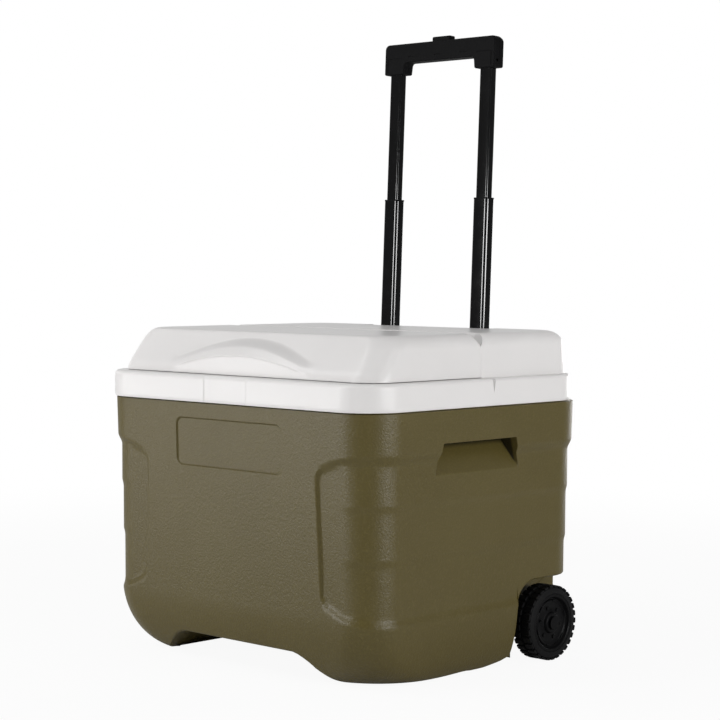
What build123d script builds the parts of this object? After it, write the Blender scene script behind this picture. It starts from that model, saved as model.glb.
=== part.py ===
from build123d import *
import os
from math import cos, pi, radians, sin, sqrt, tan

os.makedirs("parts", exist_ok=True)

# All sizes in millimetres. +Z is up, the front is -Y, the floor is Z = 0,
# and the origin is on the floor under the middle of the overall box.

# Outer shell, measured at its rim
body_w = 514.0
body_d = 426.0
shell_top = 345.0
corner_r = 56.0
corner_share = 0.6  # part of an inset that a corner radius loses
draft_deg = 1.5
shell_wall = 3.0
rim_plate = 3.5
rim_lip = 18.0
bottom_round_end = 26.0
bottom_round_front = 46.0
bottom_round_h = 90.0
bottom_corner_grow = 52.0  # what the corner radius gains in the bottom rounding
fit_gap = 0.3

# Stepped end panels of the shell
panel_edge_x = 160.0
panel_top = 293.0
panel_shoulder = 268.0
panel_low = 80.0
panel_toe = 104.0
panel_run = 46.0
slat_steps = (94.0, 164.0, 231.0)
slat_shallow = 2.2
slat_deep = 4.0

# Bare name panel on the front
plate_w = 200.0
plate_h = 64.0
plate_mid_z = 292.0
plate_r = 11.0
plate_depth = 1.6

# Hand-holds in the two ends
hold_mid = -10.0
hold_top = 301.5
hold_bottom = 260.0
hold_top_w = 140.0
hold_bottom_w = 163.0
hold_deep = 28.0
hold_shallow = 5.0

# Underside: tunnel between the end rails, raised rear step, wheel wells
tunnel_top_w = 220.0
tunnel_floor_w = 366.0
tunnel_h = 36.0
step_z = 64.0
step_setback = 101.0
well_inset = 52.0
well_setback = 138.0
well_top = 110.0
well_r = 38.0

# Rim collar
collar_h = 35.0
collar_proud = 4.0
collar_end_inset = 1.0
collar_skirt = 6.0
collar_plate = 4.0
collar_profile = ((0.0, 3.0), (6.0, 0.8), (15.0, 0.0), (23.0, 0.6), (29.0, 2.8), (33.0, 6.5))
collar_top_inset = 11.0
collar_top_wall = 1.0
pull_w = 106.0
pull_depth = 3.5
pull_wall = 4.0

# Lid and rear deck
lid_h = 57.0
lid_end_inset = 15.0
lid_front_inset = 17.0
lid_back_inset = 12.0
lid_corner_r = 36.0
lid_lip = 7.0
lid_slope_run = 37.0
lid_crest = 2.0
lid_edge_r = 18.0
lid_end_draft = 2.0
lid_wall = 3.0
hood_w = 240.0
hood_low = 9.5
hood_peak = 26.7
hood_rise_deg = 32.0
hood_run = 37.0

# Groove and hinge across the top
hinge_off = 6.0
groove_half_w = 12.5
groove_depth = 17.0
hinge_drop = 8.0
split_gap = 0.6
barrel_r = 4.0
pin_r = 1.5
pin_play = 0.05
knuckle_count = 11
knuckle_inset = 22.0
knuckle_gap = 0.8
web_t = 5.0
web_reach = 8.0

# Liner, plugs and gasket
liner_wall = 2.5
liner_side_foam = 41.0
liner_front_foam = 34.0
liner_floor = 118.0
liner_draft = 8.0
liner_corner_r = 42.0
liner_floor_r = 14.0
liner_back_gap = 16.0
plug_h = 14.0
plug_gap = 4.0
panel_t = 3.0
gasket_w = 6.0
gasket_t = 1.7
gasket_gap = 1.0

# Trolley handle, measured along its lean from the shell's rim
pole_half = 85.0
pole_setback = 32.0
lean_deg = 2.4
tube_wall = 1.2
guide_w = 30.0
guide_d = 21.0
guide_top = 29.0
guide_len = 284.0
middle_w = 26.4
middle_d = 17.4
middle_top = 271.0
middle_len = 286.0
inner_w = 20.6
inner_d = 12.8
inner_len = 249.0
guide_corner_r = 6.0
foot_corner_r = 5.0
tube_corner_r = 4.0
inner_corner_r = 3.0
slide_gap = 0.2
pass_gap = 1.0
foot_h = 12.0
foot_lip = 4.0
collar_lip = 2.0
seat_depth = 10.0
foot_beam_w = 210.0
foot_beam_d = 33.0
bezel_w = 236.0
bezel_d = 34.0
bezel_t = 4.0
bezel_screw_inset = 8.0
bay_gap = 2.0

# Grip
grip_len = 208.0
grip_d = 20.0
grip_top = 497.0
bar_h = 27.5
block_w = 35.0
block_h = 44.0
grip_edge_r = 2.0
channel_low = 3.5
channel_high = 8.0
channel_half_d = 6.0
channel_end = 6.0
button_w = 40.0
button_d = 12.0
button_proud = 6.5
button_play = 0.3
button_travel = 5.0
bar_t = 4.0
bar_d = 8.0
rod_r = 1.5
rod_off = 2.0
rod_len = 236.0
grip_pin_r = 2.0
grip_pin_off = 3.6
grip_pin_up = 10.0
grip_pin_len = 30.0
grip_screw_x = 52.0
grip_screw_drop = 4.0
spring_r = 3.0
spring_wire = 0.6
spring_turns = 4

# Screws
screw_r = 1.6
screw_head_r = 3.2
screw_head_h = 2.2
screw_len = 12.0

# Wheels and axle
wheel_r = 50.0
wheel_w = 30.0
wheel_inset = 1.0
axle_setback = 74.0
axle_r = 5.0
axle_play = 0.08
tyre_t = 11.0
lug_count = 28
lug_h = 3.0
lug_share = 0.58
hub_web = 12.0
hub_rim_t = 5.0
hub_boss_r = 13.0
cap_r = 9.0
cap_t = 3.0
spacer_r = 8.0
bracket_w = 32.0
bracket_d = 36.0
bracket_inset = 2.0
bracket_under = 10.0
bracket_screw_edge = 1.5

# Places worked out from the sizes above
draft_rate = tan(radians(draft_deg))
y_mid = collar_proud / 2
front_y = y_mid - body_d / 2
back_y = y_mid + body_d / 2
seam_z = shell_top + collar_h
lid_top_z = seam_z + lid_h
lid_half_x = body_w / 2 - lid_end_inset
lid_front = front_y + lid_front_inset
lid_back = back_y - lid_back_inset
hinge_y = y_mid + hinge_off
hinge_z = lid_top_z - hinge_drop
axle_y = back_y - axle_setback
axle_z = wheel_r
wheel_out = body_w / 2 - wheel_inset
wheel_in = wheel_out - wheel_w
well_x = body_w / 2 - well_inset
pole_y = back_y - pole_setback
lean = radians(lean_deg)
bay_front = pole_y - bezel_d / 2 - bay_gap
bay_half = bezel_w / 2 + bay_gap
liner_half_x = body_w / 2 - liner_side_foam
liner_front = front_y + liner_front_foam
liner_back = pole_y - guide_d / 2 - liner_back_gap
liner_top = seam_z - collar_plate
bar_low = grip_top - bar_h
block_low = grip_top - block_h
inner_top = bar_low
sides = (("left", -1), ("right", 1))
handle_plane = Plane(origin=(0, pole_y, shell_top), x_dir=(1, 0, 0), z_dir=(0, sin(lean), cos(lean)))
lean_axis = Axis((0, pole_y, shell_top), (0, sin(lean), cos(lean)))


def pole_y_at(z):
    return pole_y + (z - shell_top) * tan(lean)


# Solid through rounded rectangles, each given as height, half width, front, back and corner radius
def stack(levels):
    sections = []
    for z, half_x, y_front, y_back, radius in levels:
        with BuildSketch(Plane.XY.offset(z)) as level:
            with Locations((0, (y_front + y_back) / 2)):
                RectangleRounded(2 * half_x, y_back - y_front, radius)
        sections.append(level.sketch)
    with BuildPart() as form:
        loft(sections=sections, ruled=True)
    return form.part


# Outline of the box at a height, taken in by a tuck and by a share of the bottom rounding
def body_level(z, tuck, share=0.0):
    inset = tuck + (shell_top - z) * draft_rate
    end_in = inset + share * (bottom_round_end - tuck)
    side_in = inset + share * (bottom_round_front - tuck)
    radius = corner_r - corner_share * inset + share * bottom_corner_grow
    return (z, body_w / 2 - end_in, front_y + side_in, back_y - side_in, radius)


# The drafted box with its rounded bottom, taken in all round by an inset
def body_form(inset, top):
    levels = []
    for turn in (90, 75, 60, 45, 30, 15, 0):
        climb = (bottom_round_h - inset) * sin(radians(turn))
        levels.append(body_level(bottom_round_h - climb, inset, 1 - cos(radians(turn))))
    levels.append(body_level(top, inset))
    return stack(levels)


# Prism that covers the end panels where they wrap onto the front and back
def end_zone(grow):
    far = body_w
    with BuildPart() as zone:
        with BuildSketch(Plane.XZ):
            with BuildLine():
                Polyline(
                    (panel_edge_x - grow, panel_toe - grow),
                    (panel_edge_x - grow, panel_shoulder + grow),
                    (panel_edge_x + panel_run, panel_top + grow),
                    (far, panel_top + grow),
                    (far, panel_low - grow),
                    (panel_edge_x + panel_run, panel_low - grow),
                    close=True,
                )
            make_face()
            mirror(about=Plane.YZ)
        extrude(amount=body_d, both=True)
    return zone.part


# What is cut out of the underside: tunnel, rear step and wheel wells
def underside(grow):
    below = -2 * wheel_r
    behind = back_y + wheel_r
    with BuildPart() as cuts:
        with BuildSketch(Plane.XZ):
            with BuildLine():
                Polyline(
                    (-tunnel_floor_w / 2 - grow, below),
                    (-tunnel_floor_w / 2 - grow, 0),
                    (-tunnel_top_w / 2 - grow, tunnel_h + grow),
                    (tunnel_top_w / 2 + grow, tunnel_h + grow),
                    (tunnel_floor_w / 2 + grow, 0),
                    (tunnel_floor_w / 2 + grow, below),
                    close=True,
                )
            make_face()
        extrude(amount=body_d, both=True)
        with BuildSketch(Plane.YZ):
            with BuildLine():
                Polyline(
                    (back_y - step_setback - grow, below),
                    (back_y - step_setback - grow, step_z + grow),
                    (behind, step_z + grow),
                    (behind, below),
                    close=True,
                )
            make_face()
        extrude(amount=body_w, both=True)
        for side in (-1, 1):
            with BuildSketch(Plane.YZ.offset(side * (well_x - grow))):
                with BuildLine():
                    bend = FilletPolyline(
                        (behind, well_top + grow),
                        (back_y - well_setback - grow, well_top + grow),
                        (back_y - well_setback - grow, below),
                        radius=well_r,
                    )
                    Polyline(bend @ 1, (behind, below), bend @ 0)
                make_face()
            extrude(amount=side * body_w)
    return cuts.part


# Hand-hold pockets: wider at the lower edge, deep at the upper edge
def hand_holds(grow):
    hold_y = y_mid + hold_mid
    with BuildPart() as pockets:
        with BuildSketch(Plane.YZ.offset(body_w / 2 - hold_deep - grow)):
            with BuildLine():
                Polyline(
                    (hold_y - hold_bottom_w / 2, hold_bottom),
                    (hold_y - hold_top_w / 2, hold_top),
                    (hold_y + hold_top_w / 2, hold_top),
                    (hold_y + hold_bottom_w / 2, hold_bottom),
                    close=True,
                )
            make_face()
            if grow:
                offset(amount=grow, kind=Kind.INTERSECTION)
        extrude(amount=2 * hold_deep)
        with BuildSketch(Plane.XZ):
            with BuildLine():
                Polyline(
                    (body_w, hold_bottom - grow),
                    (body_w / 2 - hold_shallow - grow, hold_bottom - grow),
                    (body_w / 2 - hold_deep - grow, hold_top + grow),
                    (body_w, hold_top + grow),
                    close=True,
                )
            make_face()
        extrude(amount=body_d, both=True, mode=Mode.INTERSECT)
        mirror(about=Plane.YZ)
    return pockets.part


# Space inside the shell: the box taken in by an inset, clear of every pocket and panel
def inside_form(inset, top):
    deeper = body_form(inset + slat_deep, top)
    zone = end_zone(inset)
    box = body_form(inset, top)
    pockets = hand_holds(inset)
    cuts = underside(inset)
    with BuildPart() as skin:
        add(zone)
        add(deeper, mode=Mode.SUBTRACT)
    with BuildPart() as inside:
        add(box)
        add(skin.part, mode=Mode.SUBTRACT)
        add(pockets, mode=Mode.SUBTRACT)
        add(cuts, mode=Mode.SUBTRACT)
    return inside.part


# Slats of the end panels: each one starts shallow and runs deeper upwards
slat_edges = (panel_low - panel_run, *slat_steps, panel_top + panel_run)
with BuildPart() as slat_core:
    for low, high in zip(slat_edges[:-1], slat_edges[1:]):
        add(stack((body_level(low, slat_shallow), body_level(high, slat_deep))))

with BuildPart() as slat_cut:
    add(end_zone(0))
    add(slat_core.part, mode=Mode.SUBTRACT)

with BuildPart() as plate_cut:
    with BuildSketch(Plane.XZ.offset(-y_mid)):
        with Locations((0, plate_mid_z)):
            RectangleRounded(plate_w, plate_h, plate_r)
    extrude(amount=body_d)
    add(body_form(plate_depth, shell_top), mode=Mode.SUBTRACT)

shell_hollow = inside_form(shell_wall, shell_top - rim_plate)
shell_cuts = underside(0)
shell_pockets = hand_holds(0)
shell_box = body_form(0, shell_top)
lip_level = body_level(shell_top, rim_lip)


# Straight column between two heights with the outline of one level
def column(level, low, high, inset):
    _, half_x, y_front, y_back, radius = level
    outline = (half_x - inset, y_front + inset, y_back - inset, radius)
    return stack(((low, *outline), (high, *outline)))


bracket_x = well_x - bracket_inset - bracket_w / 2
bracket_low = axle_z - axle_r - bracket_under
bracket_screw_y = bracket_d / 2 - screw_head_r - bracket_screw_edge

with BuildPart() as outer_shell:
    add(shell_box)
    add(slat_cut.part, mode=Mode.SUBTRACT)
    add(plate_cut.part, mode=Mode.SUBTRACT)
    add(shell_pockets, mode=Mode.SUBTRACT)
    add(shell_cuts, mode=Mode.SUBTRACT)
    add(shell_hollow, mode=Mode.SUBTRACT)
    add(column(lip_level, shell_top - 2 * rim_plate, shell_top, 0), mode=Mode.SUBTRACT)
    with BuildSketch(Plane.XY.offset(step_z)):
        with GridLocations(2 * bracket_x, 0, 2, 1):
            with Locations((0, axle_y - bracket_screw_y), (0, axle_y + bracket_screw_y)):
                Circle(screw_r)
    extrude(amount=shell_wall, mode=Mode.SUBTRACT)

# Rim collar: a skirt under a flat plate, with the mouth of the liner cut through it
def collar_level(up, tuck):
    half_x = body_w / 2 - collar_end_inset - tuck
    y_front = front_y - collar_proud + tuck
    y_back = back_y - collar_proud - tuck
    return (shell_top + up, half_x, y_front, y_back, corner_r - corner_share * tuck)


collar_levels = [collar_level(up, tuck) for up, tuck in collar_profile]
collar_levels.append(collar_level(collar_h, collar_top_inset))
hollow_levels = (
    collar_level(0, collar_profile[0][1] + collar_skirt),
    collar_level(collar_profile[2][0], pull_depth + pull_wall),
    collar_level(collar_h - collar_plate, collar_top_inset + collar_top_wall),
)


# Outline of the liner at a height, on its outside or taken in by its wall
def liner_level(z, tuck):
    lean_in = tuck + (liner_top - z) / (liner_top - liner_floor) * liner_draft
    return (
        z,
        liner_half_x - lean_in,
        liner_front + lean_in,
        liner_back - lean_in,
        liner_corner_r - corner_share * lean_in,
    )


def liner_form(inset, top):
    low = liner_floor - liner_wall + inset
    round_r = liner_floor_r - inset
    levels = []
    for turn in (90, 60, 30, 0):
        up = round_r * (1 - sin(radians(turn)))
        tuck = inset + round_r * (1 - cos(radians(turn)))
        levels.append(liner_level(low + up, tuck))
    levels.append(liner_level(top, inset))
    return stack(levels)


mouth_level = liner_level(liner_top, liner_wall)


# One tube outline on both poles, along the lean from one height to another
def pole_sketch(up, width, depth, radius):
    with BuildSketch(handle_plane.offset(up)) as outline:
        with GridLocations(2 * pole_half, 0, 2, 1):
            RectangleRounded(width, depth, radius)
    return outline.sketch


def one_pole(side, up, width, depth, radius):
    with BuildSketch(handle_plane.offset(up)) as outline:
        with Locations((side * pole_half, 0)):
            RectangleRounded(width, depth, radius)
    return outline.sketch


with BuildPart() as rim_collar:
    add(stack(collar_levels))
    add(stack(hollow_levels), mode=Mode.SUBTRACT)
    add(column(mouth_level, shell_top, seam_z + collar_plate, 0), mode=Mode.SUBTRACT)
    with BuildSketch(Plane.XZ.offset(-(front_y - collar_proud + pull_depth))):
        with Locations((0, shell_top + collar_h / 2)):
            Rectangle(pull_w, 2 * collar_h)
    extrude(amount=2 * collar_proud, mode=Mode.SUBTRACT)
    extrude(
        pole_sketch(guide_top, middle_w + 2 * pass_gap, middle_d + 2 * pass_gap, tube_corner_r),
        amount=collar_h,
        mode=Mode.SUBTRACT,
    )
    with BuildSketch(Plane.XY.offset(seam_z)):
        with Locations((0, pole_y_at(seam_z))):
            with GridLocations(bezel_w - 2 * bezel_screw_inset, 0, 2, 1):
                Circle(screw_r)
    extrude(amount=-collar_plate, mode=Mode.SUBTRACT)

with BuildPart() as inner_liner:
    add(liner_form(0, liner_top))
    add(liner_form(liner_wall, liner_top), mode=Mode.SUBTRACT)

# Guide tubes and the beam that closes their lower ends
guide_low = guide_top - guide_len
for name, side in sides:
    with BuildPart() as guide_tube:
        extrude(one_pole(side, guide_low, guide_w, guide_d, guide_corner_r), amount=guide_len)
        extrude(
            one_pole(
                side,
                guide_low,
                guide_w - 2 * tube_wall,
                guide_d - 2 * tube_wall,
                foot_corner_r,
            ),
            amount=guide_len,
            mode=Mode.SUBTRACT,
        )
    guide_tube.part.label = f"guide_tube_{name}"
    export_step(guide_tube.part, f"parts/guide_tube_{name}.step")

beam_low = step_z + shell_wall
beam_top = shell_top + guide_low + seat_depth
beam_y = pole_y_at((beam_low + beam_top) / 2)
with BuildPart() as guide_foot:
    with BuildSketch(Plane.XY.offset(beam_low)):
        with Locations((0, beam_y)):
            RectangleRounded(foot_beam_w, foot_beam_d, tube_corner_r)
    extrude(amount=beam_top - beam_low)
    extrude(
        pole_sketch(guide_low, guide_w, guide_d, guide_corner_r),
        amount=2 * seat_depth,
        mode=Mode.SUBTRACT,
    )

# Foam between shell, collar and liner, with room for the guide tubes and their beam
foam_box = inside_form(shell_wall + fit_gap, shell_top - rim_plate - fit_gap)
foam_neck = column(lip_level, shell_top - 4 * rim_plate, liner_top - fit_gap, fit_gap)
foam_tub = liner_form(-fit_gap, liner_top)
with BuildPart() as foam_core:
    add(foam_box)
    add(foam_neck)
    add(foam_tub, mode=Mode.SUBTRACT)
    extrude(
        pole_sketch(
            guide_low,
            guide_w + 2 * fit_gap,
            guide_d + 2 * fit_gap,
            guide_corner_r,
        ),
        amount=guide_len + collar_h,
        mode=Mode.SUBTRACT,
    )
    with BuildSketch(Plane.XY.offset(step_z)):
        with Locations((0, beam_y)):
            Rectangle(foot_beam_w + 2 * fit_gap, foot_beam_d + 2 * fit_gap)
    extrude(amount=beam_top - step_z + fit_gap, mode=Mode.SUBTRACT)


# Outline of the closed top at a height, taken in by an inset
def top_level(up, inset):
    slope = max(0.0, up - lid_lip) / (lid_h - lid_lip - lid_crest) * lid_slope_run
    lean_in = min(up, lid_h - lid_edge_r) / (lid_h - lid_edge_r) * lid_end_draft
    over = max(0.0, up - (lid_h - lid_edge_r))
    lean_in += lid_edge_r - sqrt(max(0.0, lid_edge_r**2 - over**2))
    return (
        lid_half_x - lean_in - inset,
        lid_front + slope + inset,
        lid_back - lean_in - inset,
        lid_corner_r - corner_share * inset,
    )


# The whole top before it is parted at the hinge
def top_form(inset, low):
    edge_marks = [lid_h - lid_edge_r * (1 - sin(radians(turn))) for turn in (0, 20, 40, 60, 75, 90)]
    marks = (0.0, lid_lip, *edge_marks)
    levels = []
    for mark in marks:
        levels.append((max(seam_z + mark - inset, seam_z + low), *top_level(mark, inset)))
    return stack(levels)


# Wedge of the groove across the top, grown all round for the walls beside it
def groove_form(grow):
    half_angle_sin = groove_half_w / sqrt(groove_half_w**2 + groove_depth**2)
    tip = lid_top_z - groove_depth - grow / half_angle_sin
    reach = 2 * lid_h
    half_top = reach * groove_half_w / groove_depth
    with BuildPart() as wedge:
        with BuildSketch(Plane.YZ):
            with BuildLine():
                Polyline(
                    (hinge_y, tip),
                    (hinge_y + half_top, tip + reach),
                    (hinge_y - half_top, tip + reach),
                    close=True,
                )
            make_face()
        extrude(amount=body_w, both=True)
    return wedge.part


# Half space before or behind the hinge line, as a big block kept clear of it by a margin
def half_block(side, margin):
    size = 2 * body_d
    with BuildPart() as block:
        with Locations((0, hinge_y + side * (margin + size / 2), seam_z)):
            Box(2 * body_w, size, size)
    return block.part


# Bay in the rear deck where the grip parks
def bay_form(grow):
    with BuildPart() as bay:
        with BuildSketch(Plane.XY.offset(seam_z - 2 * lid_h)):
            with Locations((0, bay_front - grow + body_d / 2)):
                Rectangle(2 * (bay_half + grow), body_d)
        extrude(amount=4 * lid_h)
    return bay.part


top_outer = top_form(0, fit_gap)
top_inner = top_form(lid_wall, -lid_wall)
top_groove = groove_form(0)
top_groove_wall = groove_form(lid_wall)

# Knuckles along the groove: odd ones belong to the deck, even ones to the lid
knuckle_pitch = 2 * (lid_half_x - knuckle_inset) / knuckle_count
knuckle_len = knuckle_pitch - knuckle_gap
knuckle_start = -lid_half_x + knuckle_inset
wall_lean = sqrt(groove_half_w**2 + groove_depth**2)


def knuckles(side, first):
    away_y = side * groove_depth / wall_lean
    away_z = -groove_half_w / wall_lean
    with BuildPart() as row:
        for index in range(first, knuckle_count, 2):
            start = knuckle_start + index * knuckle_pitch + knuckle_gap / 2
            with BuildSketch(Plane.YZ.offset(start)):
                with Locations((hinge_y, hinge_z)):
                    Circle(barrel_r)
                with BuildLine():
                    Polyline(
                        (hinge_y - away_z * web_t / 2, hinge_z + away_y * web_t / 2),
                        (
                            hinge_y + away_y * web_reach - away_z * web_t / 2,
                            hinge_z + away_z * web_reach + away_y * web_t / 2,
                        ),
                        (
                            hinge_y + away_y * web_reach + away_z * web_t / 2,
                            hinge_z + away_z * web_reach - away_y * web_t / 2,
                        ),
                        (hinge_y + away_z * web_t / 2, hinge_z - away_y * web_t / 2),
                        close=True,
                    )
                make_face()
            extrude(amount=knuckle_len)
    return row.part


def hinge_bore(radius):
    with BuildPart() as bore:
        with BuildSketch(Plane.YZ):
            with Locations((hinge_y, hinge_z)):
                Circle(radius)
        extrude(amount=lid_half_x, both=True)
    return bore.part


# Hood over the finger pull: an arched front run back and up into the slope
with BuildPart() as hood:
    with BuildSketch(Plane.XZ.offset(-lid_front)):
        with BuildLine():
            arch = ThreePointArc(
                (-hood_w / 2, seam_z + hood_low),
                (0, seam_z + hood_peak),
                (hood_w / 2, seam_z + hood_low),
            )
            Line(arch @ 1, arch @ 0)
        make_face()
    extrude(amount=hood_run, dir=(0, cos(radians(hood_rise_deg)), sin(radians(hood_rise_deg))))

with BuildPart() as lid_hollow:
    add(top_inner)
    add(top_groove_wall, mode=Mode.SUBTRACT)
    add(half_block(1, -lid_wall - split_gap / 2), mode=Mode.SUBTRACT)

with BuildPart() as lid_top:
    add(top_outer)
    add(hood.part)
    add(top_groove, mode=Mode.SUBTRACT)
    add(half_block(1, -split_gap / 2), mode=Mode.SUBTRACT)
    add(lid_hollow.part, mode=Mode.SUBTRACT)
    add(knuckles(-1, 1))
    add(hinge_bore(pin_r + pin_play), mode=Mode.SUBTRACT)

with BuildPart() as deck_hollow:
    add(top_inner)
    add(top_groove_wall, mode=Mode.SUBTRACT)
    add(half_block(-1, -lid_wall - split_gap / 2), mode=Mode.SUBTRACT)
    add(bay_form(lid_wall), mode=Mode.SUBTRACT)

with BuildPart() as rear_deck:
    add(top_form(0, 0))
    add(top_groove, mode=Mode.SUBTRACT)
    add(half_block(-1, -split_gap / 2), mode=Mode.SUBTRACT)
    add(bay_form(0), mode=Mode.SUBTRACT)
    add(deck_hollow.part, mode=Mode.SUBTRACT)
    add(knuckles(1, 0))
    add(hinge_bore(pin_r), mode=Mode.SUBTRACT)

with BuildPart() as hinge_pin:
    with BuildSketch(Plane.YZ.offset(knuckle_start)):
        with Locations((hinge_y, hinge_z)):
            Circle(pin_r)
    extrude(amount=-2 * knuckle_start)

# Panels that close the lid and the deck from below, each with a plug into the mouth
panel_low_lid = seam_z + fit_gap + gasket_t
plug_level = liner_level(liner_top, liner_wall + plug_gap)


def closing_panel(low):
    flat = top_level(low + panel_t - seam_z + lid_wall, lid_wall + fit_gap)
    return stack(((low, *flat), (low + panel_t, *flat)))


rear_margin = lid_wall + fit_gap + split_gap / 2
seal_margin = rear_margin + gasket_w
lid_rear_cut = half_block(1, -rear_margin)
lid_plug_cut = half_block(1, -seal_margin - gasket_gap)
deck_front_cut = half_block(-1, -rear_margin)
deck_ledge_cut = half_block(-1, seal_margin)

# Ledge of the deck's panel under the rear run of the gasket
with BuildPart() as deck_ledge:
    add(column(plug_level, seam_z - panel_t, seam_z, 0))
    add(deck_ledge_cut, mode=Mode.SUBTRACT)

# Foam fills the hollow of each plug, so the pocket and its filling share one outline
plug_floor = seam_z - plug_h + panel_t


def plug_pocket(inset, high):
    return column(plug_level, plug_floor + inset, high, panel_t + inset)


with BuildPart() as lid_pocket:
    add(plug_pocket(0, panel_low_lid + 2 * panel_t))
    add(half_block(1, -seal_margin - gasket_gap - panel_t), mode=Mode.SUBTRACT)

with BuildPart() as lid_filling:
    add(plug_pocket(fit_gap, panel_low_lid + 2 * panel_t))
    add(half_block(1, -seal_margin - gasket_gap - panel_t - fit_gap), mode=Mode.SUBTRACT)

deck_pocket_margin = rear_margin + panel_t
with BuildPart() as deck_pocket:
    add(plug_pocket(0, seam_z + 2 * panel_t))
    add(half_block(-1, -deck_pocket_margin), mode=Mode.SUBTRACT)
    add(bay_form(lid_wall + panel_t), mode=Mode.SUBTRACT)

with BuildPart() as deck_filling:
    add(plug_pocket(fit_gap, seam_z + 2 * panel_t))
    add(half_block(-1, -deck_pocket_margin - fit_gap), mode=Mode.SUBTRACT)
    add(bay_form(lid_wall + panel_t + fit_gap), mode=Mode.SUBTRACT)

with BuildPart() as lid_liner:
    add(column(plug_level, seam_z - plug_h, panel_low_lid, 0))
    add(lid_plug_cut, mode=Mode.SUBTRACT)
    add(closing_panel(panel_low_lid))
    add(lid_rear_cut, mode=Mode.SUBTRACT)
    add(lid_pocket.part, mode=Mode.SUBTRACT)

with BuildPart() as deck_liner:
    add(column(plug_level, seam_z - plug_h, seam_z, 0))
    add(closing_panel(seam_z))
    add(deck_front_cut, mode=Mode.SUBTRACT)
    add(bay_form(lid_wall + fit_gap), mode=Mode.SUBTRACT)
    add(deck_ledge.part)
    add(deck_pocket.part, mode=Mode.SUBTRACT)

with BuildPart() as lid_foam:
    add(top_form(lid_wall + fit_gap, 0))
    add(groove_form(lid_wall + fit_gap), mode=Mode.SUBTRACT)
    add(lid_rear_cut, mode=Mode.SUBTRACT)
    with Locations((0, 0, panel_low_lid + panel_t + fit_gap - body_d / 2)):
        Box(2 * body_w, 2 * body_d, body_d, mode=Mode.SUBTRACT)
    add(lid_filling.part)

with BuildPart() as deck_foam:
    add(top_form(lid_wall + fit_gap, 0))
    add(groove_form(lid_wall + fit_gap), mode=Mode.SUBTRACT)
    add(deck_front_cut, mode=Mode.SUBTRACT)
    add(bay_form(lid_wall + fit_gap), mode=Mode.SUBTRACT)
    with Locations((0, 0, seam_z + panel_t + fit_gap - body_d / 2)):
        Box(2 * body_w, 2 * body_d, body_d, mode=Mode.SUBTRACT)
    add(deck_filling.part)

# Gasket: a flat loop under the lid's panel, around its plug
gasket_out = liner_level(liner_top, liner_wall + plug_gap - gasket_w - gasket_gap)
gasket_in = liner_level(liner_top, liner_wall + plug_gap - gasket_gap)
with BuildPart() as gasket_hole:
    add(column(gasket_in, seam_z, panel_low_lid + gasket_t, 0))
    add(half_block(1, -seal_margin), mode=Mode.SUBTRACT)

with BuildPart() as lid_gasket:
    add(column(gasket_out, seam_z + fit_gap, panel_low_lid, 0))
    add(lid_rear_cut, mode=Mode.SUBTRACT)
    add(gasket_hole.part, mode=Mode.SUBTRACT)

# Bezel where the tubes leave the body, held by two screws
with BuildPart() as handle_bezel:
    with BuildSketch(Plane.XY.offset(seam_z)):
        with Locations((0, pole_y_at(seam_z))):
            RectangleRounded(bezel_w, bezel_d, tube_corner_r)
    extrude(amount=bezel_t)
    extrude(
        pole_sketch(guide_top, middle_w + 2 * slide_gap, middle_d + 2 * slide_gap, tube_corner_r),
        amount=collar_h,
        mode=Mode.SUBTRACT,
    )
    with BuildSketch(Plane.XY.offset(seam_z)):
        with Locations((0, pole_y_at(seam_z))):
            with GridLocations(bezel_w - 2 * bezel_screw_inset, 0, 2, 1):
                Circle(screw_r)
    extrude(amount=bezel_t, mode=Mode.SUBTRACT)

with BuildPart() as bezel_screws:
    with BuildSketch(Plane.XY.offset(seam_z + bezel_t)):
        with Locations((0, pole_y_at(seam_z))):
            with GridLocations(bezel_w - 2 * bezel_screw_inset, 0, 2, 1):
                Circle(screw_head_r)
    extrude(amount=screw_head_h)
    with BuildSketch(Plane.XY.offset(seam_z + bezel_t)):
        with Locations((0, pole_y_at(seam_z))):
            with GridLocations(bezel_w - 2 * bezel_screw_inset, 0, 2, 1):
                Circle(screw_r)
    extrude(amount=-(bezel_t + collar_plate))

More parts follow.
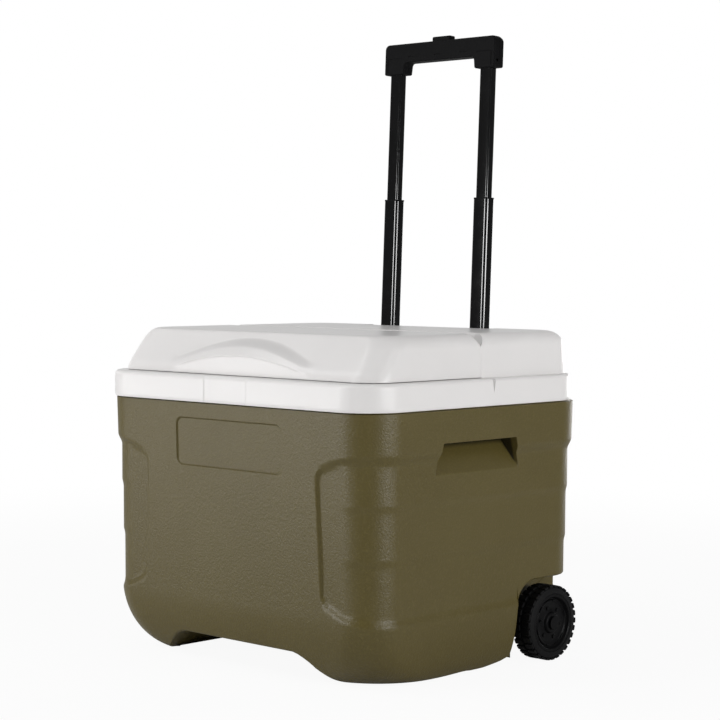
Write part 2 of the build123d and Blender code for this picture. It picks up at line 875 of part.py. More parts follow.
# Sliding tubes with their feet and collars
middle_low = middle_top - middle_len
inner_low = inner_top - inner_len
guide_hole_w = guide_w - 2 * tube_wall
guide_hole_d = guide_d - 2 * tube_wall
middle_hole_w = middle_w - 2 * tube_wall
middle_hole_d = middle_d - 2 * tube_wall
inner_hole_w = inner_w - 2 * tube_wall
inner_hole_d = inner_d - 2 * tube_wall
pin_up = block_low + grip_pin_up
pin_plane = Plane(handle_plane.from_local_coords((0, -grip_pin_off, pin_up)), z_dir=(1, 0, 0))
for name, side in sides:
    with BuildPart() as middle_tube:
        extrude(one_pole(side, middle_low, middle_w, middle_d, tube_corner_r), amount=middle_len)
        extrude(
            one_pole(side, middle_low, middle_hole_w, middle_hole_d, tube_corner_r - tube_wall),
            amount=middle_len,
            mode=Mode.SUBTRACT,
        )
    middle_tube.part.label = f"middle_tube_{name}"
    export_step(middle_tube.part, f"parts/middle_tube_{name}.step")

    with BuildPart() as middle_foot:
        extrude(
            one_pole(
                side,
                middle_low,
                guide_hole_w - 2 * slide_gap,
                guide_hole_d - 2 * slide_gap,
                foot_corner_r,
            ),
            amount=-foot_lip,
        )
        extrude(
            one_pole(side, middle_low, middle_hole_w, middle_hole_d, tube_corner_r - tube_wall),
            amount=foot_h,
        )
    middle_foot.part.label = f"middle_foot_{name}"
    export_step(middle_foot.part, f"parts/middle_foot_{name}.step")

    with BuildPart() as middle_collar:
        extrude(one_pole(side, middle_top, middle_w, middle_d, tube_corner_r), amount=collar_lip)
        extrude(
            one_pole(side, middle_top, middle_hole_w, middle_hole_d, tube_corner_r - tube_wall),
            amount=-foot_h,
        )
        extrude(
            one_pole(
                side,
                middle_top - foot_h,
                inner_w + 2 * slide_gap,
                inner_d + 2 * slide_gap,
                tube_corner_r - tube_wall,
            ),
            amount=foot_h + collar_lip,
            mode=Mode.SUBTRACT,
        )
    middle_collar.part.label = f"middle_collar_{name}"
    export_step(middle_collar.part, f"parts/middle_collar_{name}.step")

    with BuildPart() as inner_tube:
        extrude(one_pole(side, inner_low, inner_w, inner_d, inner_corner_r), amount=inner_len)
        extrude(
            one_pole(side, inner_low, inner_hole_w, inner_hole_d, inner_corner_r - tube_wall),
            amount=inner_len,
            mode=Mode.SUBTRACT,
        )
        with BuildSketch(pin_plane):
            Circle(grip_pin_r)
        extrude(amount=side * grip_len, mode=Mode.SUBTRACT)
    inner_tube.part.label = f"inner_tube_{name}"
    export_step(inner_tube.part, f"parts/inner_tube_{name}.step")

    with BuildPart() as inner_foot:
        extrude(
            one_pole(
                side,
                inner_low,
                middle_hole_w - 2 * slide_gap,
                middle_hole_d - 2 * slide_gap,
                tube_corner_r - tube_wall,
            ),
            amount=-foot_lip,
        )
        extrude(
            one_pole(side, inner_low, inner_hole_w, inner_hole_d, inner_corner_r - tube_wall),
            amount=foot_h,
        )
    inner_foot.part.label = f"inner_foot_{name}"
    export_step(inner_foot.part, f"parts/inner_foot_{name}.step")

    with BuildPart() as lock_rod:
        with BuildSketch(handle_plane.offset(bar_low + channel_low + button_travel)):
            with Locations((side * pole_half, rod_off)):
                Circle(rod_r)
        extrude(amount=-rod_len)
    lock_rod.part.label = f"lock_rod_{name}"
    export_step(lock_rod.part, f"parts/lock_rod_{name}.step")

# Grip: bar and two end blocks around a channel, in a front and a rear half
bar_rest = bar_low + channel_low + button_travel
channel_top = grip_top - channel_high
with BuildPart() as grip_form:
    with BuildSketch(handle_plane.offset(bar_low)):
        RectangleRounded(grip_len, grip_d, tube_corner_r)
    extrude(amount=bar_h)
    fillet(faces().sort_by(lean_axis)[-1].edges(), grip_edge_r)
    with BuildSketch(handle_plane.offset(block_low)):
        with GridLocations(grip_len - block_w, 0, 2, 1):
            RectangleRounded(block_w, grip_d, tube_corner_r)
    extrude(amount=block_h - bar_h)
    with BuildSketch(handle_plane.offset(bar_low + channel_low)):
        Rectangle(grip_len - 2 * channel_end, 2 * channel_half_d)
    extrude(amount=channel_top - bar_low - channel_low, mode=Mode.SUBTRACT)
    extrude(
        pole_sketch(block_low, inner_w, inner_d, inner_corner_r),
        amount=inner_top - block_low,
        mode=Mode.SUBTRACT,
    )
    with BuildSketch(handle_plane.offset(inner_top)):
        with GridLocations(2 * pole_half, 0, 2, 1):
            with Locations((0, rod_off)):
                Circle(rod_r + slide_gap)
    extrude(amount=channel_low, mode=Mode.SUBTRACT)
    with BuildSketch(handle_plane.offset(channel_top)):
        RectangleRounded(button_w + 2 * button_play, button_d + 2 * button_play, tube_corner_r)
    extrude(amount=channel_high, mode=Mode.SUBTRACT)
    with BuildSketch(pin_plane):
        Circle(grip_pin_r)
    extrude(amount=grip_len, both=True, mode=Mode.SUBTRACT)

# Plane across the middle of the grip's depth, and the screw places on it
depth_dir = handle_plane.y_dir
screw_up = grip_top - grip_screw_drop
screw_seat = grip_d / 2 - screw_head_h


def grip_screw_plane(depth):
    return Plane(
        handle_plane.from_local_coords((0, depth, screw_up)),
        x_dir=(1, 0, 0),
        z_dir=depth_dir,
    )


with BuildPart() as grip_front:
    add(grip_form.part)
    split(bisect_by=Plane(handle_plane.origin, z_dir=depth_dir), keep=Keep.BOTTOM)
    with BuildSketch(grip_screw_plane(0)):
        with GridLocations(2 * grip_screw_x, 0, 2, 1):
            Circle(screw_r)
    extrude(amount=-(screw_len - screw_seat), mode=Mode.SUBTRACT)

with BuildPart() as grip_rear:
    add(grip_form.part)
    split(bisect_by=Plane(handle_plane.origin, z_dir=depth_dir), keep=Keep.TOP)
    with BuildSketch(grip_screw_plane(0)):
        with GridLocations(2 * grip_screw_x, 0, 2, 1):
            Circle(screw_r)
    extrude(amount=grip_d, mode=Mode.SUBTRACT)
    with BuildSketch(grip_screw_plane(screw_seat)):
        with GridLocations(2 * grip_screw_x, 0, 2, 1):
            Circle(screw_head_r)
    extrude(amount=grip_d, mode=Mode.SUBTRACT)

with BuildPart() as grip_screws:
    with BuildSketch(grip_screw_plane(screw_seat)):
        with GridLocations(2 * grip_screw_x, 0, 2, 1):
            Circle(screw_head_r)
    extrude(amount=screw_head_h)
    with BuildSketch(grip_screw_plane(screw_seat)):
        with GridLocations(2 * grip_screw_x, 0, 2, 1):
            Circle(screw_r)
    extrude(amount=-screw_len)

with BuildPart() as grip_pins:
    for side in (-1, 1):
        pin_end = handle_plane.from_local_coords((side * grip_len / 2, -grip_pin_off, pin_up))
        with BuildSketch(Plane(pin_end, z_dir=(1, 0, 0))):
            Circle(grip_pin_r)
        extrude(amount=-side * grip_pin_len)

with BuildPart() as release_bar:
    with BuildSketch(handle_plane.offset(bar_rest)):
        Rectangle(2 * pole_half + 4 * rod_r, bar_d)
    extrude(amount=bar_t)

with BuildPart() as release_button:
    with BuildSketch(handle_plane.offset(bar_rest + bar_t)):
        RectangleRounded(button_w, button_d, tube_corner_r - button_play)
    extrude(amount=grip_top + button_proud - bar_rest - bar_t)
    fillet(faces().sort_by(lean_axis)[-1].edges(), grip_edge_r)

# Return spring under the release bar, seated in the channel
spring_low = bar_low + channel_low
spring_h = bar_rest - spring_low
spring_plane = handle_plane.offset(spring_low + spring_wire)
with BuildPart() as button_spring:
    with BuildLine(spring_plane):
        coil = Helix((spring_h - 2 * spring_wire) / spring_turns, spring_h - 2 * spring_wire, spring_r)
    with BuildSketch(Plane(coil @ 0, z_dir=coil % 0)):
        Circle(spring_wire)
    sweep(path=coil)

# Axle, its brackets under the rear step, spacers and caps
axle_half = wheel_out + cap_t / 2
with BuildPart() as axle:
    with BuildSketch(Plane.YZ):
        with Locations((axle_y, axle_z)):
            Circle(axle_r)
    extrude(amount=axle_half, both=True)

with BuildPart() as bracket_screws:
    with BuildSketch(Plane.XY.offset(bracket_low)):
        with GridLocations(2 * bracket_x, 0, 2, 1):
            with Locations((0, axle_y - bracket_screw_y), (0, axle_y + bracket_screw_y)):
                Circle(screw_head_r)
    extrude(amount=screw_head_h)
    with BuildSketch(Plane.XY.offset(bracket_low)):
        with GridLocations(2 * bracket_x, 0, 2, 1):
            with Locations((0, axle_y - bracket_screw_y), (0, axle_y + bracket_screw_y)):
                Circle(screw_r)
    extrude(amount=step_z - bracket_low + shell_wall)

for name, side in sides:
    with BuildPart() as axle_bracket:
        with BuildSketch(Plane.XY.offset(bracket_low)):
            with Locations((side * bracket_x, axle_y)):
                RectangleRounded(bracket_w, bracket_d, tube_corner_r)
        extrude(amount=step_z - bracket_low)
        with BuildSketch(Plane.YZ):
            with Locations((axle_y, axle_z)):
                Circle(axle_r)
        extrude(amount=side * body_w / 2, mode=Mode.SUBTRACT)
        with BuildSketch(Plane.XY.offset(bracket_low)):
            with Locations(
                (side * bracket_x, axle_y - bracket_screw_y),
                (side * bracket_x, axle_y + bracket_screw_y),
            ):
                Circle(screw_head_r)
        extrude(amount=screw_head_h, mode=Mode.SUBTRACT)
        with BuildSketch(Plane.XY.offset(bracket_low)):
            with Locations(
                (side * bracket_x, axle_y - bracket_screw_y),
                (side * bracket_x, axle_y + bracket_screw_y),
            ):
                Circle(screw_r)
        extrude(amount=step_z - bracket_low, mode=Mode.SUBTRACT)
    axle_bracket.part.label = f"axle_bracket_{name}"
    export_step(axle_bracket.part, f"parts/axle_bracket_{name}.step")

    spacer_in = side * (bracket_x + bracket_w / 2)
    spacer_len = wheel_in - fit_gap - bracket_x - bracket_w / 2
    with BuildPart() as axle_spacer:
        with BuildSketch(Plane.YZ.offset(spacer_in)):
            with Locations((axle_y, axle_z)):
                Circle(spacer_r)
                Circle(axle_r, mode=Mode.SUBTRACT)
        extrude(amount=side * spacer_len)
    axle_spacer.part.label = f"axle_spacer_{name}"
    export_step(axle_spacer.part, f"parts/axle_spacer_{name}.step")

    with BuildPart() as axle_cap:
        with BuildSketch(Plane.YZ.offset(side * (wheel_out + fit_gap))):
            with Locations((axle_y, axle_z)):
                Circle(cap_r)
        extrude(amount=side * cap_t)
        with BuildSketch(Plane.YZ):
            with Locations((axle_y, axle_z)):
                Circle(axle_r)
        extrude(amount=side * axle_half, mode=Mode.SUBTRACT)
    axle_cap.part.label = f"axle_cap_{name}"
    export_step(axle_cap.part, f"parts/axle_cap_{name}.step")

    tread_r = wheel_r - lug_h
    rim_r = wheel_r - tyre_t
    lug_w = lug_share * 2 * pi * wheel_r / lug_count
    with BuildPart() as tyre:
        with BuildSketch(Plane.YZ.offset(side * wheel_in)):
            with Locations((axle_y, axle_z)):
                Circle(tread_r)
                with PolarLocations(tread_r, lug_count):
                    Rectangle(2 * lug_h, lug_w)
                Circle(rim_r, mode=Mode.SUBTRACT)
        extrude(amount=side * wheel_w)
    tyre.part.label = f"tyre_{name}"
    export_step(tyre.part, f"parts/tyre_{name}.step")

    hub_mid = (wheel_in + wheel_out) / 2
    with BuildPart() as hub:
        with BuildSketch(Plane.YZ.offset(side * (hub_mid - hub_web / 2))):
            with Locations((axle_y, axle_z)):
                Circle(rim_r)
        extrude(amount=side * hub_web)
        with BuildSketch(Plane.YZ.offset(side * wheel_in)):
            with Locations((axle_y, axle_z)):
                Circle(rim_r)
                Circle(rim_r - hub_rim_t, mode=Mode.SUBTRACT)
                Circle(hub_boss_r)
        extrude(amount=side * wheel_w)
        with BuildSketch(Plane.YZ):
            with Locations((axle_y, axle_z)):
                Circle(axle_r + axle_play)
        extrude(amount=side * body_w, mode=Mode.SUBTRACT)
    hub.part.label = f"hub_{name}"
    export_step(hub.part, f"parts/hub_{name}.step")

for name, piece in (
    ("outer_shell", outer_shell),
    ("foam_core", foam_core),
    ("inner_liner", inner_liner),
    ("rim_collar", rim_collar),
    ("rear_deck", rear_deck),
    ("deck_foam", deck_foam),
    ("deck_liner", deck_liner),
    ("hinge_pin", hinge_pin),
    ("guide_foot", guide_foot),
    ("handle_bezel", handle_bezel),
    ("bezel_screws", bezel_screws),
    ("lid_top", lid_top),
    ("lid_foam", lid_foam),
    ("lid_liner", lid_liner),
    ("lid_gasket", lid_gasket),
    ("grip_front", grip_front),
    ("grip_rear", grip_rear),
    ("grip_screws", grip_screws),
    ("grip_pins", grip_pins),
    ("release_bar", release_bar),
    ("release_button", release_button),
    ("button_spring", button_spring),
    ("axle", axle),
    ("bracket_screws", bracket_screws),
):
    piece.part.label = name
    export_step(piece.part, f"parts/{name}.step")
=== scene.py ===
from math import cos, pi, radians, sin, sqrt, tan

import bmesh
import bpy
import numpy as np
from mathutils import Matrix, Vector


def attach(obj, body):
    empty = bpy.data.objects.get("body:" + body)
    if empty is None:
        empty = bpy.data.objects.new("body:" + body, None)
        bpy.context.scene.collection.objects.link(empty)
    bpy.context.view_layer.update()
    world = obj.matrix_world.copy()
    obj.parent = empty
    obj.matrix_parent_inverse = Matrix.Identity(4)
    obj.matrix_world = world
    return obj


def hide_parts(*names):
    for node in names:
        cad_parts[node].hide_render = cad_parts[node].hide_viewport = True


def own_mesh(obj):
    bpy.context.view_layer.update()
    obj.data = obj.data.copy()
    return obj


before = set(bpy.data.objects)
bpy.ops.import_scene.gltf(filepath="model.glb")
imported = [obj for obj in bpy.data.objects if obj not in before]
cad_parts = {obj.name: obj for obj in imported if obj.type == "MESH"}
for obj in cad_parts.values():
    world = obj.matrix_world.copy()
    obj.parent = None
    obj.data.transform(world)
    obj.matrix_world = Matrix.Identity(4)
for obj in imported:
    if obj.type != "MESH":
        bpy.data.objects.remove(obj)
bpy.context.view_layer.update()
mm = 0.001  # sizes below are in millimetres, meshes are in metres
print("frame loaded")


# A socket that takes sums, so that 1 - mask adds its own Math node
class Wire:
    def __init__(self, tree, socket=None):
        self.tree = tree
        self.socket = socket

    def node(self, kind, settings=None, inputs=None, out=0):
        made = self.tree.nodes.new(kind)
        for key, value in (settings or {}).items():
            if key == "stops":
                ramp = made.color_ramp.elements
                while len(ramp) < len(value):
                    ramp.new(1.0)
                for stop, (place, colour) in zip(ramp, value):
                    stop.position = place
                    stop.color = colour
            else:
                setattr(made, key, value)
        for key, value in (inputs or {}).items():
            if isinstance(value, Wire):
                self.tree.links.new(value.socket, made.inputs[key])
            else:
                made.inputs[key].default_value = value
        return Wire(self.tree, made.outputs[out] if len(made.outputs) else None)

    def sum(self, operation, first, second, third=0.0):
        return self.node("ShaderNodeMath", {"operation": operation}, {0: first, 1: second, 2: third})

    def __add__(self, other):
        return self.sum("ADD", self, other)

    def __radd__(self, other):
        return self.sum("ADD", other, self)

    def __sub__(self, other):
        return self.sum("SUBTRACT", self, other)

    def __rsub__(self, other):
        return self.sum("SUBTRACT", other, self)

    def __mul__(self, other):
        return self.sum("MULTIPLY", self, other)

    def __rmul__(self, other):
        return self.sum("MULTIPLY", other, self)

    def __truediv__(self, other):
        return self.sum("DIVIDE", self, other)

    def __abs__(self):
        return self.sum("ABSOLUTE", self, 0.0)

    # X, Y and Z of a place, in millimetres
    def axes(self, place):
        split = self.node("ShaderNodeSeparateXYZ", None, {0: place}).socket.node
        return [Wire(self.tree, end) / mm for end in split.outputs]

    def vector(self, x=0.0, y=0.0, z=0.0):
        return self.node("ShaderNodeCombineXYZ", None, {0: x, 1: y, 2: z})

    # Geometry node by its short name, with underscores for the spaces in its inputs' names
    def shape(self, kind, **inputs):
        return self.node("GeometryNode" + kind, None, {key.replace("_", " "): inputs[key] for key in inputs})

    def join(self, *shapes):
        both = self.shape("JoinGeometry")
        for one in shapes:
            self.tree.links.new(one.socket, both.socket.node.inputs[0])
        return both

    def noise(self, place, scale, detail=2.0, rough=0.5):
        return self.node("ShaderNodeTexNoise", None,
                         {"Vector": place, "Scale": scale, "Detail": detail, "Roughness": rough})

    def blend(self, mask, first, second):
        return self.node("ShaderNodeMix", {"data_type": "RGBA"}, {0: mask, 6: first, 7: second}, 2)

    def bump(self, height, distance, strength=1.0):
        return self.node("ShaderNodeBump", None,
                         {"Height": height, "Distance": distance, "Strength": strength})

    def ramp(self, value, low, high):
        return self.node("ShaderNodeMapRange", {"interpolation_type": "SMOOTHSTEP"},
                         {"Value": value, "From Min": low, "From Max": high})


def rgb(red, green, blue):
    levels = [(v / 12.92 if v <= 0.04045 else ((v + 0.055) / 1.055) ** 2.4) for v in
              (red / 255, green / 255, blue / 255)]
    return (*levels, 1.0)


def emptyTree(owner):
    owner.use_nodes = True
    owner.node_tree.nodes.clear()
    return Wire(owner.node_tree)


# Material whose look is told by a function of the tree and the Object coordinates
def finish(name, look, shine=0.5):
    material = bpy.data.materials.new(name)
    start = emptyTree(material)
    place = start.node("ShaderNodeTexCoord", None, None, 3)
    shader = start.node("ShaderNodeBsdfPrincipled", None, {"Specular IOR Level": shine, **look(start, place)})
    start.node("ShaderNodeOutputMaterial", None, {"Surface": shader})
    return material


# Where painted shade darkens the olive inside the hand-holds, in millimetres
holdShadePaint = {
    "midY": -8.0, "low": 260.0, "lowHalf": 81.5, "lean": 0.277, "foot": (261.0, 265.0),
    "head": (303.5, 302.5), "mouth": (4.0, 3.0), "endWall": (-3.2, -1.4), "endDepth": (247.5, 244.0),
    "deep": (233.0, 228.5), "share": 0.85,
}


def oliveLook(wire, place):
    cloudy = wire.noise(place, 7.0, 3.0)
    grain = wire.noise(place, 330.0, 3.0, 0.55)
    pores = wire.noise(place, 720.0, 1.0)
    tone = wire.blend(wire.ramp(cloudy, 0.3, 0.7), rgb(87, 77, 38), rgb(84, 74, 35))
    colour = wire.blend(wire.ramp(grain, 0.45, 0.8), tone, rgb(93, 83, 44))
    # painted shade deep in the hand-holds and on their end walls: the olive is darkened where their shadow
    # falls
    g = holdShadePaint
    x, y, z = wire.axes(place)
    edge = abs(y - g["midY"]) + g["lean"] * (z - g["low"]) - g["lowHalf"]
    within = wire.ramp(z, *g["foot"]) * wire.ramp(z, *g["head"]) * wire.ramp(edge, *g["mouth"])
    corner = wire.ramp(edge, *g["endWall"]) * wire.ramp(abs(x), *g["endDepth"])
    paintedShade = within * wire.sum("MAXIMUM", wire.ramp(abs(x), *g["deep"]), corner)
    colour = wire.blend(g["share"] * paintedShade, colour, rgb(18, 15, 8))
    return {
        "Base Color": colour,
        "Roughness": 0.3 + 0.16 * grain,
        "Normal": wire.bump(grain + 0.4 * pores, 0.0008, 0.55),
    }


# Where painted shade greys the white inside the hinge groove's ends, in millimetres
grooveShadePaint = {
    "midY": 8.0, "low": 420.0, "lowHalf": 0.5, "flare": 0.72, "soft": (0.0, 1.0), "ends": (220.5, 222.5),
    "foot": (419.5, 421.5), "head": (437.2, 436.2), "share": 0.75,
}


def whiteLook(wire, place):
    cloudy = wire.noise(place, 5.0, 2.0)
    fine = wire.noise(place, 900.0, 2.0)
    colour = wire.blend(wire.ramp(cloudy, 0.3, 0.7), rgb(231, 229, 228), rgb(226, 224, 223))
    # painted shade in the open ends of the hinge groove, greying the white where its inside falls in shadow
    g = grooveShadePaint
    x, y, z = wire.axes(place)
    inside = g["lowHalf"] + g["flare"] * (z - g["low"]) - abs(y - g["midY"])
    paintedShade = wire.ramp(inside, *g["soft"]) * wire.ramp(abs(x), *g["ends"])
    paintedShade = paintedShade * wire.ramp(z, *g["foot"]) * wire.ramp(z, *g["head"])
    colour = wire.blend(g["share"] * paintedShade, colour, rgb(95, 94, 90))
    return {
        "Base Color": colour,
        "Roughness": 0.26 + 0.1 * fine,
        "Normal": wire.bump(cloudy + 0.02 * fine, 0.0009, 0.5),
    }


# Plain look of a moulded piece: a cloudy tone, roughness that follows it and a fine grain
def cloudyLook(scale, first, second, rough, gain, grain, depth):
    def look(wire, place):
        cloudy = wire.noise(place, scale, 3.0)
        return {
            "Base Color": wire.blend(cloudy, first, second),
            "Roughness": rough + gain * cloudy,
            "Normal": wire.bump(wire.noise(place, grain), depth, 0.5),
        }
    return look


def foamLook(wire, place):
    cells = wire.node("ShaderNodeTexVoronoi", None, {"Vector": place, "Scale": 420.0})
    cloudy = wire.noise(place, 30.0, 4.0)
    return {
        "Base Color": wire.blend(cloudy, rgb(226, 205, 150), rgb(204, 178, 118)),
        "Roughness": 0.82 + 0.15 * cells,
        "Normal": wire.bump(cells, 0.0008, 0.8),
    }


def paintLook(wire, place):
    rubbed = wire.noise(place, 45.0, 5.0, 0.65)
    return {
        "Base Color": wire.blend(wire.ramp(rubbed, 0.5, 0.8), rgb(2, 2, 3), rgb(5, 5, 6)),
        "Roughness": 0.1 + 0.04 * wire.ramp(rubbed, 0.4, 0.8),
    }


def satinLook(wire, place):
    grain = wire.noise(place, 1100.0, 2.0, 0.6)
    cloudy = wire.noise(place, 40.0, 3.0)
    return {
        "Base Color": wire.blend(cloudy, rgb(7, 7, 8), rgb(12, 12, 13)),
        "Roughness": 0.5 + 0.2 * grain,
        "Normal": wire.bump(grain, 0.00012, 0.7),
    }


def zincLook(wire, place):
    spangle = wire.node("ShaderNodeTexVoronoi", None, {"Vector": place, "Scale": 260.0}, 1)
    streak = wire.noise(place, 500.0, 4.0, 0.7)
    return {
        "Base Color": wire.blend(streak, rgb(176, 178, 180), rgb(143, 146, 149)),
        "Metallic": 0.96 + 0.04 * streak,
        "Roughness": 0.22 + 0.2 * wire.node("ShaderNodeRGBToBW", None, {0: spangle}),
    }


def wheelLook(wire, place):
    cloudy = wire.noise(place, 55.0, 4.0, 0.6)
    dust = wire.noise(place, 220.0, 4.0, 0.7)
    return {
        "Base Color": wire.blend(wire.ramp(dust, 0.55, 0.85), rgb(5, 5, 6), rgb(14, 14, 14)),
        "Roughness": 0.3 + 0.25 * wire.ramp(cloudy, 0.3, 0.8),
        "Normal": wire.bump(cloudy, 0.00025, 0.5),
    }


def tyreLook(wire, place):
    dust = wire.noise(place, 160.0, 5.0, 0.7)
    grain = wire.noise(place, 900.0, 2.0)
    return {
        "Base Color": wire.blend(wire.ramp(dust, 0.5, 0.85), rgb(11, 11, 12), rgb(30, 29, 28)),
        "Roughness": 0.36 + 0.3 * dust,
        "Normal": wire.bump(grain, 0.00012, 0.6),
    }


olivePlastic = finish("olivePlastic", oliveLook, shine=0.38)
whitePlastic = finish("whitePlastic", whiteLook)
linerLook = cloudyLook(9.0, rgb(240, 239, 235), rgb(229, 228, 224), 0.3, 0.15, 700.0, 0.0001)
linerPlastic = finish("linerPlastic", linerLook)
foamFill = finish("foamFill", foamLook)
sealLook = cloudyLook(60.0, rgb(96, 97, 98), rgb(76, 77, 79), 0.55, 0.2, 800.0, 0.0001)
sealRubber = finish("sealRubber", sealLook)
blackPaint = finish("blackPaint", paintLook, shine=0.65)
satinBlack = finish("satinBlack", satinLook, shine=0.09)
slideLook = cloudyLook(80.0, rgb(18, 18, 19), rgb(28, 28, 29), 0.34, 0.2, 900.0, 0.00006)
slideNylon = finish("slideNylon", slideLook)
zincSteel = finish("zincSteel", zincLook)
wheelBlack = finish("wheelBlack", wheelLook, shine=0.12)
tyreBlack = finish("tyreBlack", tyreLook, shine=0.15)
print("materials made")


def smooth(low, high, value):
    t = np.clip((value - low) / (high - low), 0.0, 1.0)
    return t * t * (3.0 - 2.0 * t)


# Lesser of two with the corner between them rounded over a width
def softMin(first, second, width):
    overlap = np.maximum(width - np.abs(first - second), 0.0)
    return np.minimum(first, second) - overlap * overlap / (4.0 * width)


def softMax(first, second, width):
    return -softMin(-first, -second, width)


flatWall = 0.9999  # an outward direction past this belongs to a straight wall


# Places from low to high at a step, with denser runs given as (middle, reach, step)
def marks(low, high, step, *dense, closest=0.12):
    places = list(np.linspace(low, high, max(2, int(round((high - low) / step)) + 1)))
    for middle, reach, fine in dense:
        places += list(np.linspace(middle - reach, middle + reach, int(round(2 * reach / fine)) + 1))
    places = sorted(p for p in places if low <= p <= high)
    kept = [places[0]]
    for p in places[1:]:
        if p - kept[-1] > closest:
            kept.append(p)
    kept[-1] = high
    return np.array(kept)


# Columns round a rounded rectangle: each holds its straight place and its outward direction
def ringColumns(frontX, rightY, cornerSteps, extraTurns=()):
    turn = np.sort(np.concatenate([np.linspace(0.0, pi / 2, cornerSteps + 1)[1:-1], extraTurns]))
    columns = [(u, 0.0, 0.0, -1.0) for u in frontX]
    columns += [(1.0, 0.0, sin(a), -cos(a)) for a in turn]
    columns += [(1.0, v, 1.0, 0.0) for v in rightY]
    columns += [(1.0, 1.0, cos(a), sin(a)) for a in turn]
    columns += [(u, 1.0, 0.0, 1.0) for u in frontX[::-1]]
    columns += [(-1.0, 1.0, -sin(a), cos(a)) for a in turn]
    columns += [(-1.0, v, -1.0, 0.0) for v in rightY[::-1]]
    columns += [(-1.0, 0.0, -cos(a), -sin(a)) for a in turn]
    return np.array(columns).T


def ringPoints(columns, halfX, front, back, radius):
    along, deep, outX, outY = columns
    low = front + radius
    high = back - radius
    return along * (halfX - radius) + radius * outX, low + deep * (high - low) + radius * outY


def gridFaces(rows, columns, closed, first=0):
    faces = []
    for row in range(rows - 1):
        for column in range(columns if closed else columns - 1):
            after = (column + 1) % columns
            base = first + row * columns
            faces.append((base + column, base + after, base + columns + after, base + columns + column))
    return faces


# Mesh in metres from points in millimetres
def newMesh(name, points=(), faces=()):
    mesh = bpy.data.meshes.new(name)
    mesh.from_pydata([tuple(mm * float(c) for c in p) for p in points], [], faces)
    return mesh


def addThing(name, data):
    thing = bpy.data.objects.new(name, data)
    bpy.context.scene.collection.objects.link(thing)
    return thing


# Finished piece: tidied, smooth up to an angle and riding on its body
def settle(name, mesh, material, body, slotName, replaced=(), angle=32, bevel=0.0):
    faceOut(mesh)
    mesh.materials.clear()
    mesh.materials.append(material)
    thing = addThing(name, mesh)
    if bevel:
        edge = thing.modifiers.new("edge", "BEVEL")
        edge.width = bevel * mm
        edge.segments = 2
        edge.limit_method = "ANGLE"
        edge.angle_limit = radians(40)
        bakeModifiers(thing)
    for face in thing.data.polygons:
        face.use_smooth = True
    thing.data.set_sharp_from_angle(angle=radians(angle))
    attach(thing, body)
    if replaced:
        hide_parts(*replaced)
    return thing


# Turns what the modifiers make into the object's own plain mesh
def bakeModifiers(thing):
    bpy.context.view_layer.update()
    seen = thing.evaluated_get(bpy.context.evaluated_depsgraph_get())
    made = bpy.data.meshes.new_from_object(seen)
    thing.modifiers.clear()
    thing.data = made


# Blocks that don't touch each other, taken out of a closed mesh in one cut
def cutAway(mesh, blocks):
    form = bmesh.new()
    for block in blocks:
        form.from_mesh(block)
    cutter = bpy.data.meshes.new("cutter")
    form.to_mesh(cutter)
    form.free()
    target = addThing("cutTarget", mesh)
    helper = addThing("cutHelper", cutter)
    step = target.modifiers.new("cut", "BOOLEAN")
    step.operation = "DIFFERENCE"
    step.solver = "EXACT"
    step.object = helper
    bakeModifiers(target)
    made = target.data
    for thing in (target, helper):
        bpy.data.objects.remove(thing)
    return made


# Merges what lies together and turns every face outwards
def faceOut(mesh):
    form = bmesh.new()
    form.from_mesh(mesh)
    bmesh.ops.remove_doubles(form, verts=form.verts, dist=0.00002)
    bmesh.ops.dissolve_degenerate(form, edges=form.edges, dist=0.000005)
    bmesh.ops.recalc_face_normals(form, faces=form.faces)
    form.to_mesh(mesh)
    form.free()


def blockMesh(name, low, high, corner=0.0, turned=None):
    form = bmesh.new()
    bmesh.ops.create_cube(form, size=1.0)
    for vert in form.verts:
        vert.co = Vector([mm * (low[i] if vert.co[i] < 0 else high[i]) for i in range(3)])
    if corner:
        bmesh.ops.bevel(form, geom=list(form.edges), offset=corner * mm, segments=3, profile=0.5,
                        affect="EDGES")
    if turned:
        form.transform(turned)
    mesh = bpy.data.meshes.new(name)
    form.to_mesh(mesh)
    form.free()
    return mesh


# Geometry Nodes: a tree with named sizes, run once on a mesh and kept as a plain mesh
def grow(name, sizes, build, mesh, material):
    tree = bpy.data.node_groups.new(name, "GeometryNodeTree")
    tree.interface.new_socket("Geometry", in_out="INPUT", socket_type="NodeSocketGeometry")
    tree.interface.new_socket("Geometry", in_out="OUTPUT", socket_type="NodeSocketGeometry")
    keys = {}
    for key, value in sizes.items():
        kind = "NodeSocketInt" if isinstance(value, int) else "NodeSocketFloat"
        keys[key] = tree.interface.new_socket(key, in_out="INPUT", socket_type=kind).identifier
    start = tree.nodes.new("NodeGroupInput")
    given = {socket.name: Wire(tree, socket) for socket in start.outputs if socket.name}
    form = build(Wire(tree), given)
    whole = form.shape("RealizeInstances", Geometry=form)
    dressed = whole.shape("SetMaterial", Geometry=whole, Material=material)
    tree.links.new(dressed.socket, tree.nodes.new("NodeGroupOutput").inputs[0])
    holder = addThing(name, mesh)
    grown = holder.modifiers.new("grow", "NODES")
    grown.node_group = tree
    for key, value in sizes.items():
        grown[keys[key]] = value
    bakeModifiers(holder)
    made = holder.data
    bpy.data.objects.remove(holder)
    return made


